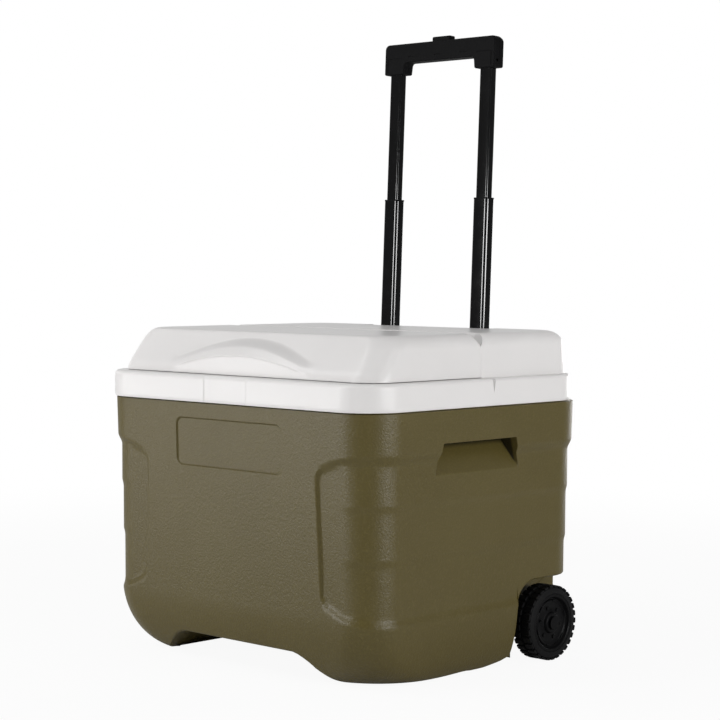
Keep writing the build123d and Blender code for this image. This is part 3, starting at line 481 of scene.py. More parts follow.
shell = {
    "halfX": 257.0, "front": -211.0, "back": 215.0, "top": 345.0, "corner": 56.0, "draft": 1.5, "lip": 18.0,
    "cornerShare": 0.6, "lowZone": 118.0, "coreX": 140.0, "coreY": 96.0,
    "roundEnd": 26.0, "roundFront": 46.0, "roundHigh": 90.0, "cornerGrow": 52.0,
    "panelLeft": (157.0, 270.0, 164.0, 104.0), "panelShoulder": (157.0, 270.0, 208.0, 293.0),
    "panelToe": (165.0, 103.0, 215.0, 81.0), "panelTop": 293.0, "panelLow": 79.0, "panelSoft": 12.0,
    "panelWall": 7.0, "panelWallEnd": 15.0, "slatSteps": (94.0, 164.0, 231.0), "slatShallow": 3.4,
    "slatDeep": 5.2, "slatSoft": 11.0, "slatFrom": 196.0, "slatTo": 226.0, "slatFlat": 4.2,
    "plate": (100.0, 292.0, 32.0, 11.0), "plateDepth": 2.0, "plateWall": 1.8,
    "holdY": -8.0, "holdLow": 260.0, "holdTop": 301.5, "holdLowHalf": 81.5, "holdTopHalf": 70.0,
    "holdShallow": 4.6, "holdDeep": 30.0, "tunnelHigh": 36.0, "tunnelFrom": 100.0, "tunnelTo": 176.0,
    "railY": (-50.0, -30.0, -5.0, 5.0, 30.0, 60.0, 77.0), "railZ": (0.0, 1.5, 3.0, 1.5, 1.5, 7.0, 13.0),
    "stepY": 114.0, "stepZ": 64.0, "wellX": 205.0, "wellY": 77.0, "wellTop": 110.0, "wellRound": 38.0,
    "wellRimX": 208.7, "wellSplit": 0.15, "edgeRound": 3.1, "reveal": 5.0, "revealHigh": 1.7,
    "revealSoft": 0.5, "mouthSoft": (-0.7, 0.9), "slatFoot": 15.0, "leanReach": 25.0, "leanFade": 40.0,
    "footRows": 24.0, "roundFrom": 20.0, "roundGrow": (4.0, 24.0), "roundLeast": 0.05, "farOff": 99.0,
    "denseX": ((161.0, 9.0, 1.5), (96.0, 7.0, 1.0)),
    "denseWell": ((0.0, 0.1, 0.2), (-3.0, 3.0, 0.75), (8.0, 8.0, 1.3), (26.0, 12.0, 2.4)),
    "denseZ": ((164.0, 8.0, 1.6), (231.0, 8.0, 1.6), (260.0, 2.4, 0.6), (266.0, 5.0, 1.2), (288.0, 9.0, 1.5),
               (301.5, 1.6, 0.4), (319.0, 7.0, 1.0), (343.0, 0.7, 0.3)),
}


# Height of the underside's edge below each column of the wall
def shellFoot(columns, x, y):
    outY = columns[3]
    arch = shell["tunnelHigh"] * (1.0 - smooth(shell["tunnelFrom"], shell["tunnelTo"], np.abs(x)))
    rail = np.interp(y, shell["railY"], shell["railZ"])
    turned = shell["wellRound"]
    run = np.clip(shell["wellY"] + turned - y, 0.0, turned)
    well = shell["wellTop"] - turned + np.sqrt(turned * turned - run * run)
    foot = np.where(outY < -0.001, arch * (outY < -flatWall), rail)
    foot = np.where((y > shell["wellY"]) & (np.abs(x) > shell["wellX"]), well, foot)
    return np.where((y > shell["wellY"]) & (np.abs(x) <= shell["wellX"]), shell["stepZ"], foot)


def lineSide(given, x, z, flip):
    x0, z0, x1, z1 = given
    return flip * ((x - x0) * (z1 - z0) - (z - z0) * (x1 - x0)) / sqrt((x1 - x0) ** 2 + (z1 - z0) ** 2)


# How far the wall stands back: end panels with their slats, name panel and hand-holds
def shellDent(x, y, z, outX, outY):
    s = shell
    side = np.abs(x)
    inside = lineSide(s["panelLeft"], side, z, -1)
    inside = softMin(inside, lineSide(s["panelShoulder"], side, z, 1), s["panelSoft"])
    inside = softMin(inside, s["panelTop"] - z, s["panelSoft"])
    inside = softMin(inside, lineSide(s["panelToe"], side, z, -1), s["panelSoft"])
    inside = softMin(inside, z - s["panelLow"], s["panelSoft"])
    edges = (s["panelLow"] - s["slatFoot"], *s["slatSteps"], s["panelTop"])
    slat = np.full(np.broadcast(x, z).shape, s["slatShallow"])
    rise = s["slatDeep"] - s["slatShallow"]
    for low, high in zip(edges[:-1], edges[1:]):
        here = np.clip((z - low) / (high - low), 0.0, 1.0)
        slat = slat + rise * here * (1.0 - smooth(high - s["slatSoft"], high, z) * (high < s["panelTop"]))
    # the slats run round the corner and along the end, and fade out on the front
    turned = smooth(s["slatFrom"], s["slatTo"], side)
    flat = s["slatFlat"]
    wall = s["panelWall"] + (s["panelWallEnd"] - s["panelWall"]) * turned
    dent = (flat + (slat - flat) * turned) * smooth(0.0, 1.0, inside / wall)
    halfW, midZ, halfH, bend = s["plate"]
    px = np.maximum(side - halfW + bend, 0.0)
    pz = np.maximum(np.abs(z - midZ) - halfH + bend, 0.0)
    plate = bend - np.sqrt(px * px + pz * pz)
    dent = dent + s["plateDepth"] * smooth(0.0, s["plateWall"], plate) * (outY < -flatWall)
    climb = (z - s["holdLow"]) / (s["holdTop"] - s["holdLow"])
    half = s["holdLowHalf"] + (s["holdTopHalf"] - s["holdLowHalf"]) * np.clip(climb, 0.0, 1.0)
    mouth = np.minimum(half - np.abs(y - s["holdY"]), np.minimum(z - s["holdLow"], s["holdTop"] - z))
    deep = s["holdShallow"] + (s["holdDeep"] - s["holdShallow"]) * np.clip(climb, 0.0, 1.0)
    pocket = np.maximum(deep - (s["halfX"] - side), dent)
    return np.where(np.abs(outX) > flatWall, dent + (pocket - dent) * smooth(*s["mouthSoft"], mouth), dent)


def makeShell():
    s = shell
    straightX = s["halfX"] - s["corner"]
    low, high = s["front"] + s["corner"], s["back"] - s["corner"]
    frontX = marks(-straightX, straightX, 8.0,
                   *[(side * x, reach, fine) for x, reach, fine in s["denseX"] for side in (-1, 1)])
    holdMid = (s["holdLowHalf"] + s["holdTopHalf"]) / 2
    rightY = marks(low, high, 9.0, (s["holdY"] - holdMid, 2, 0.5), (s["holdY"] + holdMid, 2, 0.5),
                   *[(s["wellY"] + past, reach, fine) for past, reach, fine in s["denseWell"]])
    # two close turns on each corner, which at the rear right stand beside the wheel well's edge
    edgeTurn = [np.arccos((s["wellRimX"] + step - straightX) / s["corner"])
                for step in (s["wellSplit"], -s["wellSplit"])]
    columns = ringColumns(frontX / straightX, (rightY - low) / (high - low), 26, edgeTurn)
    rowsHigh = marks(s["lowZone"], s["top"], 6.0, *s["denseZ"])
    lowRows = s["footRows"] * (np.arange(11) / 10.0) ** 2
    climb = np.concatenate([lowRows, np.linspace(s["footRows"], s["lowZone"], 36)[1:]]) / s["lowZone"]
    along, _, outX, outY = columns
    rate = tan(radians(s["draft"]))
    midY = (s["front"] + s["back"]) / 2
    # each column keeps to its own upright plane, out from an inner core
    rimX, rimY = ringPoints(columns, s["halfX"], s["front"], s["back"], s["corner"])
    coreX = np.clip(rimX, -s["coreX"], s["coreX"])
    coreY = np.clip(rimY, midY - s["coreY"], midY + s["coreY"])
    reach = np.hypot(rimX - coreX, rimY - coreY)
    wayX, wayY = (rimX - coreX) / reach, (rimY - coreY) / reach

    # where the columns meet the drafted box, whose corners grow rounder in the bottom rounding
    def wallPoint(z, dent):
        inset = (s["top"] - z) * rate
        drop = np.clip((s["roundHigh"] - z) / s["roundHigh"], 0.0, 1.0)
        turn = 1.0 - np.sqrt(1.0 - drop * drop)
        radius = s["corner"] - s["cornerShare"] * inset + s["cornerGrow"] * turn
        halfX = s["halfX"] - inset - s["roundEnd"] * turn - radius
        halfY = s["back"] - midY - inset - s["roundFront"] * turn - radius
        inner = np.zeros(np.broadcast(z, reach).shape)
        outer = inner + 1.1 * reach
        for _ in range(26):
            out = (inner + outer) / 2
            px = np.abs(coreX + out * wayX) - halfX
            py = np.abs(coreY + out * wayY - midY) - halfY
            over = np.hypot(np.maximum(px, 0), np.maximum(py, 0)) + np.minimum(np.maximum(px, py), 0)
            inside = over - radius + dent < 0
            inner, outer = np.where(inside, out, inner), np.where(inside, outer, out)
        return coreX + out * wayX, coreY + out * wayY

    x, y = wallPoint(np.full(along.shape, 60.0), 0.0)
    foot = shellFoot(columns, x, y)
    for _ in range(4):
        x, y = wallPoint(foot, 0.0)
        foot = shellFoot(columns, x, y)
    z = np.concatenate([foot + (s["lowZone"] - foot) * climb[:, None],
                        np.repeat(rowsHigh[1:, None], len(along), axis=1)])
    # the upright columns lean with the hand-hold's slanted sides
    x, y = wallPoint(z, 0.0)
    leanLow, leanTop = s["holdLow"] - s["leanReach"], s["holdTop"] + s["leanReach"]
    lean = np.interp(z, (leanLow, s["holdLow"], s["holdTop"], leanTop),
                     (0, s["holdLowHalf"] - holdMid, s["holdTopHalf"] - holdMid, 0))
    near = np.clip(1.0 - np.abs(np.abs(y - s["holdY"]) - holdMid) / s["leanFade"], 0.0, 1.0)
    shift = lean * near * np.sign(y - s["holdY"]) * (np.abs(outX) > flatWall)
    dent = shellDent(x, y + shift, z, outX, outY)
    # rounded rim where the wall meets the tunnel, the step and the wells
    turned = s["wellRound"]
    a = turned - (y - s["wellY"])
    b = turned - (s["wellTop"] - z)
    fromWell = np.hypot(np.maximum(a, 0), np.maximum(b, 0)) + np.minimum(np.maximum(a, b), 0) - turned
    fromWell = np.hypot(np.maximum(fromWell, 0), np.maximum(s["wellX"] - np.abs(x), 0))
    fromFoot = np.where(foot > s["roundFrom"], z - foot, s["farOff"])
    fromFoot = fromFoot / np.maximum(smooth(*s["roundGrow"], foot), s["roundLeast"])
    gap = np.clip(np.minimum(fromWell, fromFoot), 0.0, s["edgeRound"])
    rim = s["edgeRound"] - np.sqrt(s["edgeRound"] ** 2 - (s["edgeRound"] - gap) ** 2)
    revealLow = s["top"] - s["revealHigh"]
    rim = rim + s["reveal"] * smooth(revealLow, revealLow + s["revealSoft"], z)
    x, y = wallPoint(z, dent + rim)
    y = y + shift
    wall = np.stack([x, y, z], axis=2)
    rows, count = wall.shape[:2]
    rimHigh = np.full(along.shape, s["top"])
    flange = np.stack([*wallPoint(rimHigh, s["lip"]), rimHigh], axis=1)
    points = [tuple(p) for p in wall.reshape(-1, 3)] + [tuple(p) for p in flange]
    faces = gridFaces(rows + 1, count, True)

    def new(px, py, pz):
        points.append((px, py, pz))
        return len(points) - 1

    ring = wall[0]
    frontIds = [i for i in range(count) if outY[i] < -flatWall]
    first, last = frontIds[0], frontIds[-1]
    sideIds = [i for i in range(last + 1, count) if ring[i, 1] < s["wellY"] and along[i] > 0.99]
    steps = [ring[i, 1] for i in sideIds] + [s["stepY"]]
    start = ring[last, 1]
    sheet = []
    for i in frontIds:
        stretch = (s["stepY"] - ring[i, 1]) / (s["stepY"] - start)
        sheet.append([i] + [new(ring[i, 0], ring[i, 1] + (v - start) * stretch, ring[i, 2]) for v in steps])
    for one, two in zip(sheet[:-1], sheet[1:]):
        faces += [(one[k], two[k], two[k + 1], one[k + 1]) for k in range(len(steps))]
    tops = [new(points[row[-1]][0], s["stepY"], s["stepZ"]) for row in sheet]
    faces += [(sheet[k][-1], sheet[k + 1][-1], tops[k + 1], tops[k]) for k in range(len(tops) - 1)]
    for flip, edge, edgeTop in ((1, sheet[-1], tops[-1]), (-1, sheet[0], tops[0])):
        ids = sideIds if flip > 0 else [(first - 1 - (i - last - 1)) % count for i in sideIds]
        faces += [(edge[0], edge[1], ids[0])]
        faces += [(edge[k + 1], edge[k + 2], ids[k + 1], ids[k]) for k in range(len(ids) - 1)]
        wellIds = []
        k = ids[-1]
        while abs(ring[k, 0]) > s["wellX"] - 0.01 and len(wellIds) < count:
            wellIds.append(k)
            k = (k + flip) % count
        inner = [new(flip * s["wellX"], ring[i, 1], ring[i, 2]) for i in wellIds]
        faces += [(wellIds[k], wellIds[k + 1], inner[k + 1], inner[k]) for k in range(len(inner) - 1)]
        railEnd = new(flip * s["wellX"], s["stepY"], 0.0)
        stepEnd = new(flip * s["wellX"], s["stepY"], s["stepZ"])
        backEnd = new(flip * s["wellX"], ring[wellIds[-1], 1], s["stepZ"])
        faces += [tuple(inner) + (backEnd, stepEnd, railEnd)]
        faces += [(ids[-1], inner[0], railEnd, edge[-1], edge[-2])]
        faces += [(edge[-1], railEnd, stepEnd, edgeTop)]
        # rear ceiling behind the step, from this well to the middle of the back
        k = (wellIds[-1] + flip) % count
        backIds = [k]
        while flip * ring[k, 0] > 0.01:
            k = (k + flip) % count
            backIds.append(k)
        line = [new(ring[i, 0], s["stepY"], s["stepZ"]) for i in backIds]
        faces += [(backIds[n], backIds[n + 1], line[n + 1], line[n]) for n in range(len(line) - 1)]
        faces += [(wellIds[-1], backIds[0], line[0], stepEnd, backEnd)]
    mesh = newMesh("shellSkin", points, faces)
    return settle("shellSkin", mesh, olivePlastic, "body", "olive_plastic", ("outer_shell",), 28)


makeShell()
print("shell made")

band = {
    "halfX": 256.0, "front": -215.0, "back": 208.5, "low": 345.0, "high": 35.0, "corner": 56.0,
    "tuck": 1.0, "tuckHigh": 5.0, "roundIn": 5.0, "roundHigh": 5.0, "mouth": (213.5, -174.5, 154.0, 40.0),
    "plate": 4.0, "pullHalf": 41.0, "pullDepth": 0.9, "pullSoft": 1.4, "dartY": 17.0, "dartLow": 17.0,
    "dartHalf": 3.2, "dartDepth": 4.5, "dartSoft": 0.8, "cornerShare": 0.6, "innerIn": 6.0, "innerUp": 6.0,
    "underIn": 4.0, "poleX": 85.0, "poleY": 184.5, "holeHalf": (14.2, 9.7), "holeLow": 368.0,
    "holeTop": 388.0,
}


def makeBand():
    b = band
    straightX = b["halfX"] - b["corner"]
    low, high = b["front"] + b["corner"], b["back"] - b["corner"]
    frontX = marks(-straightX, straightX, 9.0, (-b["pullHalf"], 5, 0.8), (b["pullHalf"], 5, 0.8))
    rightY = marks(low, high, 12.0, (b["dartY"], 5, 0.5))
    columns = ringColumns(frontX / straightX, (rightY - low) / (high - low), 22)
    along, _, outX, outY = columns
    turn = np.linspace(0, pi / 2, 12)
    straightHigh = b["high"] - b["roundHigh"]
    curved = straightHigh + b["roundHigh"] * np.sin(turn)
    ups = np.concatenate([np.linspace(0, straightHigh, 18)[:-1], curved])[:, None]
    over = np.maximum(ups - straightHigh, 0) / b["roundHigh"]
    tuck = b["tuck"] * np.maximum(0, 1 - ups / b["tuckHigh"]) ** 2
    tuck = tuck + b["roundIn"] * (1 - np.sqrt(np.maximum(0, 1 - over * over)))

    def at(inset):
        return ringPoints(columns, b["halfX"] - inset, b["front"] + inset, b["back"] - inset,
                          b["corner"] - b["cornerShare"] * inset)

    x, y = at(tuck)
    pull = smooth(b["pullHalf"], b["pullHalf"] - b["pullSoft"], np.abs(x)) * (outY < -flatWall)
    wide = b["dartHalf"] * np.clip((ups - b["dartLow"]) / (b["high"] - b["dartLow"]), 0.01, 1)
    dart = np.clip((wide - np.abs(y - b["dartY"])) / b["dartSoft"], 0, 1)
    dart = dart * (ups > b["dartLow"]) * (np.abs(outX) > flatWall)
    x, y = at(tuck + b["pullDepth"] * pull * (1 - over ** 4) + b["dartDepth"] * dart)
    wall = np.stack([x, y, np.broadcast_to(b["low"] + ups, x.shape)], axis=2)
    inside = []
    for up in (b["innerUp"], 0.0):
        px, py = at(b["tuck"] + b["innerIn"])
        inside.append(np.stack([px, py, np.full(px.shape, b["low"] + up)], axis=1))
    halfX, front, back, radius = b["mouth"]
    mx, my = ringPoints(columns, halfX, front, back, radius)
    mouth = [np.stack([mx, my, np.full(mx.shape, b["low"] + up)], axis=1)
             for up in (b["high"], b["high"] - b["plate"])]
    seat = np.full(along.shape, b["low"] + b["high"] - b["plate"])
    under = np.stack([*at(b["roundIn"] + b["underIn"]), seat], axis=1)
    stackRows = np.concatenate([np.array(inside), wall, np.array(mouth), under[None], inside[0][None]])
    rows, count = stackRows.shape[:2]
    mesh = newMesh("rimBand", stackRows.reshape(-1, 3), gridFaces(rows, count, True))
    faceOut(mesh)
    halfW, halfD = b["holeHalf"]
    holes = [blockMesh("hole", (side * b["poleX"] - halfW, b["poleY"] - halfD, b["holeLow"]),
                       (side * b["poleX"] + halfW, b["poleY"] + halfD, b["holeTop"])) for side in (-1, 1)]
    return settle("rimBand", cutAway(mesh, holes), whitePlastic, "body", "white_plastic", ("rim_collar",), 40)


makeBand()
print("rim band made")

top = {
    "halfX": 242.0, "seam": 380.0, "high": 57.0, "corner": 36.0, "lip": 6.5, "slopeRun": 38.0,
    "slopeSoft": 7.0, "crestSoft": 5.0, "edge": 18.0, "draft": 2.0, "hingeY": 8.0, "splitHalf": 0.12,
    "grooveLow": 40.0, "grooveHalf": 12.5, "wall": 3.0, "panelUp": 4.0, "lidFar": 202.0, "deckFar": 195.0,
    "lidGap": 0.9, "browHigh": 26.7, "browBend": 840.0, "browLow": 8.5, "browRecess": 0.9, "browStep": 2.4,
    "browHalf": 128.0, "ridgeHigh": 37.4, "ridgeBend": 560.0, "ridgeBand": 2.6, "ridgeLean": 0.32,
    "ridgeFoot": 10.0, "cove": 11.0, "crown": 6.0, "edgeBevel": 0.2, "recessFade": 30.0,
    "browFade": (14.0, -18.0), "bayHalf": 120.0, "bayY": (164.0, 254.0), "bayZ": (360.0, 460.0),
    "bayRound": 6.0,
}


# Lower edge and ridge of the brow over the finger pull, at each place along the front
def browLines(x):
    t = top
    low = softMax(t["browHigh"] - x * x / t["browBend"], np.full(x.shape, t["browLow"]), 4.0)
    ridge = softMax(t["ridgeHigh"] - x * x / t["ridgeBend"], low + t["ridgeBand"], 4.0)
    return low, ridge


def makeTop(isLid):
    t = top
    far = t["lidFar"] if isLid else t["deckFar"]
    straight = t["halfX"] - t["corner"]
    frontX = marks(-straight, straight, 2.4 if isLid else 12.0)
    sideT = np.linspace(0, 1, 30)
    arc = np.linspace(0, pi / 2, 24)[1:-1]
    flat = slice(len(sideT) + len(arc), len(sideT) + len(arc) + len(frontX))
    count = 2 * len(sideT) + 2 * len(arc) + len(frontX)
    # rows of the wall follow the brow along the front and run level round the rest
    place = np.full(count, straight)
    place[flat] = frontX[::-1]
    low, ridge = browLines(place)
    zero = np.zeros(count)
    stops = (zero, low - t["browStep"], low, ridge, ridge + t["cove"], zero + t["high"] - t["crown"])
    ups = []
    for one, two, steps in zip(stops[:-1], stops[1:], (9, 4, 9, 9, 18)):
        ups += [one + (two - one) * k / steps for k in range(steps)]
    ups += [zero + t["high"] - t["crown"] * (1 - sin(pi / 2 * k / 12)) for k in range(13)]
    ups = np.array(ups)
    over = np.maximum(ups - (t["high"] - t["edge"]), 0)
    endIn = t["draft"] * np.minimum(ups / (t["high"] - t["edge"]), 1)
    endIn = endIn + t["edge"] - np.sqrt(np.maximum(t["edge"] ** 2 - over ** 2, 0))
    if isLid:
        grade = t["slopeRun"] / (t["high"] - t["lip"] - 1.5)
        slope = softMax(np.zeros(ups.shape), (ups - t["lip"]) * grade, t["slopeSoft"])
        crest = np.maximum(ups - (t["high"] - t["crestSoft"] / 2), 0) / (t["crestSoft"] / 2)
        farIn = slope + t["crestSoft"] * (1 - np.sqrt(np.maximum(1 - crest ** 2, 0)))
        recess = t["browRecess"] * smooth(t["browHalf"], t["browHalf"] - t["recessFade"], np.abs(place))
        lean = t["ridgeLean"] * np.maximum(ridge - t["ridgeFoot"], 0) / (ridge - low)
        brow = lean * np.maximum(ups - low, 0) + recess * (1 - smooth(low - t["browStep"], low, ups))
        proud = np.maximum(farIn - brow, 0) * (1 - smooth(ridge, ridge + t["cove"], ups))
        fade = smooth(*[t["browHalf"] + past for past in t["browFade"]], np.abs(place))
        farIn = farIn - proud * fade
    else:
        farIn = endIn
    halfX = t["halfX"] - endIn
    reach = far - farIn
    widen = (t["grooveHalf"] - t["splitHalf"]) / (t["high"] - t["grooveLow"])
    start = t["splitHalf"] + np.maximum(ups - t["grooveLow"], 0) * widen
    r = t["corner"]
    sideRun = np.concatenate([sideT, np.ones(count - 2 * len(sideT)), sideT[::-1]])
    bend = np.full(count, pi / 2)
    bend[:len(sideT)] = 0.0
    bend[len(sideT):flat.start] = arc
    bend[flat.stop:flat.stop + len(arc)] = pi - arc[::-1]
    bend[flat.stop + len(arc):] = pi
    across = np.sign(np.cos(bend) + 1e-9)
    across[flat] = frontX[::-1] / straight
    x = across * (halfX - r) + r * np.cos(bend)
    w = start + sideRun * (reach - r - start) + r * np.sin(bend)
    sign = -1.0 if isLid else 1.0
    gap = t["lidGap"] if isLid else 0.0
    wall = np.stack([x, t["hingeY"] + sign * w, t["seam"] + np.maximum(ups, gap)], axis=2)
    rows = len(ups)
    points = [tuple(p) for p in wall.reshape(-1, 3)]
    faces = gridFaces(rows, count, False)
    ends = [(k * count, (k + 1) * count, (k + 2) * count - 1, (k + 1) * count - 1) for k in range(rows - 1)]
    faces += ends + [tuple(range((rows - 1) * count, rows * count))]
    # rim of the open underside, closed again a little higher by the panel's seat
    thick = t["wall"]
    low = wall[0]
    for up in (gap, t["panelUp"]):
        for p in low:
            side = p[0] / t["halfX"]
            depth = (sign * (p[1] - t["hingeY"]) - far / 2) / (far / 2)
            points.append((p[0] - thick * side, p[1] - sign * thick * depth, t["seam"] + up))
    base = rows * count
    faces += [(k, (k + 1) % count, base + (k + 1) % count, base + k) for k in range(count)]
    faces += [(base + k, base + (k + 1) % count, base + count + (k + 1) % count, base + count + k)
              for k in range(count)]
    faces += [tuple(range(base + count, base + 2 * count))]
    name = "lidSkin" if isLid else "deckSkin"
    finishing = (30, t["edgeBevel"])
    mesh = newMesh(name, points, faces)
    if isLid:
        return settle(name, mesh, whitePlastic, "lid", "white_plastic", ("lid_top",), *finishing)
    faceOut(mesh)
    bayLow, bayHigh = zip((-t["bayHalf"], t["bayHalf"]), t["bayY"], t["bayZ"])
    mesh = cutAway(mesh, [blockMesh("bay", bayLow, bayHigh, t["bayRound"])])
    return settle(name, mesh, whitePlastic, "body", "white_plastic", ("rear_deck",), *finishing)


makeTop(True)
makeTop(False)
print("lid and deck made")

knuckle = {"pitch": 40.0, "length": 39.2, "start": -220.0, "hingeY": 8.0, "hingeZ": 429.0,
           "barrel": 4.0, "web": 5.0, "reach": 8.0, "lean": 36.3}


# Row of hinge barrels along the groove, each with the web that joins it to its own half
def buildKnuckles(wire, given):
    barrel = wire.shape("MeshCylinder", Vertices=24, Radius=given["barrel"], Depth=given["length"])
    laid = wire.shape("Transform", Geometry=barrel, Rotation=(0, pi / 2, 0))
    web = wire.shape("MeshCube", Size=wire.vector(given["length"], given["reach"], given["web"]))
    moved = wire.shape("Transform", Geometry=web, Translation=wire.vector(y=given["reach"] * 0.5))
    leant = wire.shape("Transform", Geometry=moved, Rotation=wire.vector(given["tilt"]))
    begin = wire.vector(given["start"], given["hingeY"], given["hingeZ"])
    pace = wire.vector(given["pace"])
    line = wire.shape("MeshLine", Count=given["count"], Start_Location=begin, Offset=pace)
    return wire.shape("InstanceOnPoints", Points=line, Instance=wire.join(laid, leant))


def makeKnuckles(name, body, firstIndex, count, tilt):
    k = knuckle
    sizes = {key: k[key] * mm for key in ("barrel", "length", "web", "reach", "hingeY", "hingeZ")}
    sizes.update({"count": count, "tilt": tilt, "pace": 2 * k["pitch"] * mm,
                  "start": (k["start"] + (firstIndex + 0.5) * k["pitch"]) * mm})
    mesh = grow(name, sizes, buildKnuckles, newMesh(name), whitePlastic)
    return settle(name, mesh, whitePlastic, body, "white_plastic")


webTilt = radians(knuckle["lean"])
makeKnuckles("lidKnuckles", "lid", 1, 5, pi + webTilt)
makeKnuckles("deckKnuckles", "body", 0, 6, -webTilt)
print("hinge made")

wheel = {
    "axleY": 141.0, "axleZ": 50.0, "inner": 226.0, "outer": 256.0, "tread": 48.5, "shoulder": 46.4,
    "rim": 39.0, "lugs": 30, "lugHigh": 1.44, "lugWide": 7.6, "lugLong": 12.6, "lugRow": 8.0,
    "dots": 6, "dotRing": 20.5, "dotSize": 2.1, "bars": 6, "barRing": 29.5, "barLong": 9.0, "barWide": 2.2,
    "beadR": 41.5, "lugPhase": 0.25, "dotDeep": 2.4, "dotIn": 4.6, "dotPhase": 0.3, "barDeep": 2.2,
    "barIn": 3.2, "barPhase": 0.8,
}


# Turned form round the axle from (x, radius) pairs, given outwards from the wheel's middle
def turnedMesh(name, profile, side, steps):
    points = []
    for out, radius in profile:
        for step in range(steps):
            a = 2 * pi * step / steps
            points.append((side * out, wheel["axleY"] + radius * cos(a), wheel["axleZ"] + radius * sin(a)))
    faces = gridFaces(len(profile), steps, True)
    last = steps * (len(profile) - 1)
    faces += [(last + k, last + (k + 1) % steps, (k + 1) % steps, k) for k in range(steps)]
    return newMesh(name, points, faces)


# Soft blocks set round the axle, added to the turned form that comes in
def buildRound(wire, given):
    block = wire.shape("MeshCube", Size=wire.vector(given["along"], given["wide"], given["high"]))
    soft = wire.shape("SubdivisionSurface", Mesh=block, Level=2, Edge_Crease=0.75)
    moved = wire.shape("Transform", Geometry=soft, Translation=wire.vector(given["place"], z=given["ring"]))
    points = wire.shape("Points", Count=given["count"])
    spin = (wire.shape("InputIndex") + given["phase"]) * (2 * pi) / given["count"]
    many = wire.shape("InstanceOnPoints", Points=points, Instance=moved, Rotation=wire.vector(spin))
    centre = wire.vector(y=given["axleY"], z=given["axleZ"])
    return wire.join(wire.shape("Transform", Geometry=many, Translation=centre), given["Geometry"])


def addRound(name, mesh, material, count, along, wide, high, place, ring, phase):
    sizes = {"count": count, "along": along * mm, "wide": wide * mm, "high": high * mm, "place": place * mm,
             "ring": ring * mm, "phase": phase, "axleY": wheel["axleY"] * mm, "axleZ": wheel["axleZ"] * mm}
    return grow(name, sizes, buildRound, mesh, material)


def makeWheel(name, side):
    w = wheel
    low, high, mid = w["inner"], w["outer"], (w["inner"] + w["outer"]) / 2
    tyre = ((low, w["rim"]), (low, w["beadR"]), (low + 1.2, w["shoulder"]), (low + 3.5, w["tread"] - 0.6),
            (low + 6, w["tread"]), (mid - 2, w["tread"]), (mid - 1.2, w["tread"] - 1.6),
            (mid + 1.2, w["tread"] - 1.6), (mid + 2, w["tread"]), (high - 6, w["tread"]),
            (high - 3.5, w["tread"] - 0.6), (high - 1.2, w["shoulder"]),
            (high, w["beadR"]), (high, w["rim"]))
    mesh = turnedMesh(f"tyre_{name}", tyre, side, 112)
    for row in (-1, 1):
        mesh = addRound(f"lugs{row}_{name}", mesh, tyreBlack, w["lugs"], w["lugLong"], w["lugWide"],
                        2 * w["lugHigh"], side * (mid + row * w["lugRow"]), w["tread"], w["lugPhase"] * row)
    settle(f"tyreTread_{name}", mesh, tyreBlack, f"wheel_{name}", "tyre_rubber", (f"tyre_{name}",), 35)
    hub = ((low, 5.2), (low, 13), (mid - 6, 13.6), (mid - 6, 33), (low + 1, 34), (low, 35), (low, 38.9),
           (high - 0.6, 38.9), (high, 38.2), (high, 35.4), (high - 0.7, 34.4), (high - 4.2, 33.2),
           (high - 4.8, 32.4), (high - 4.8, 31.4), (high - 3.4, 30.6), (high - 3.0, 29.4), (high - 3.4, 28.2),
           (high - 4.6, 27.2), (high - 5.0, 25), (high - 4.6, 17), (high - 3.8, 14.6), (high - 1.0, 13.4),
           (high - 0.2, 12.6), (high, 11.6), (high, 5.2))
    mesh = turnedMesh(f"hub_{name}", hub, side, 96)
    mesh = addRound(f"dots_{name}", mesh, wheelBlack, w["dots"], w["dotDeep"], 2 * w["dotSize"],
                    2 * w["dotSize"], side * (high - w["dotIn"]), w["dotRing"], w["dotPhase"])
    mesh = addRound(f"bars_{name}", mesh, wheelBlack, w["bars"], w["barDeep"], w["barLong"], w["barWide"],
                    side * (high - w["barIn"]), w["barRing"], w["barPhase"])
    settle(f"hubFace_{name}", mesh, wheelBlack, f"wheel_{name}", "wheel_plastic", (f"hub_{name}",), 35)


for sideName, sideSign in (("left", -1), ("right", 1)):
    makeWheel(sideName, sideSign)
print("wheels made")

handle = {
    "poleY": 183.0, "rim": 345.0, "lean": 2.4, "half": 104.0, "depth": 10.0, "top": 497.0, "barLow": 469.5,
    "blockLow": 453.0, "blockWide": 36.0, "flare": 3.0, "topRound": 7.0, "edge": 2.0, "seam": 0.25,
    "crownFront": 3.0, "crownRear": 7.5, "slots": (-52.0, -2.0, 46.0), "slotHalf": 6.0, "slotUp": 477.6,
    "slotDeep": 0.8, "slotThick": 0.8, "footRound": 2.5, "innerRound": 5.0, "blockLean": 1.0,
    "poleX": 85.0, "poleHalf": (10.5, 6.6), "poleLow": 440.0, "poleOver": 0.2,
    "lineX": (72.0, 96.4), "lineZ": (475.7, 476.5), "uprightX": (97.2, 98.0), "uprightZ": (456.0, 476.3),
    "keyRoom": 6.5, "keyRoomTop": 520.0, "keyRound": 2.0,
    "buttonHalf": 17.0, "buttonDeep": 6.0, "buttonLow": 482.0, "buttonTop": 503.5, "buttonPlay": 0.5,
}
# from along the handle's lean to the shared frame, in metres
leanTurn = Matrix.Translation((0, handle["poleY"] * mm, handle["rim"] * mm)) @ Matrix.Rotation(
    -radians(handle["lean"]), 4, "X")


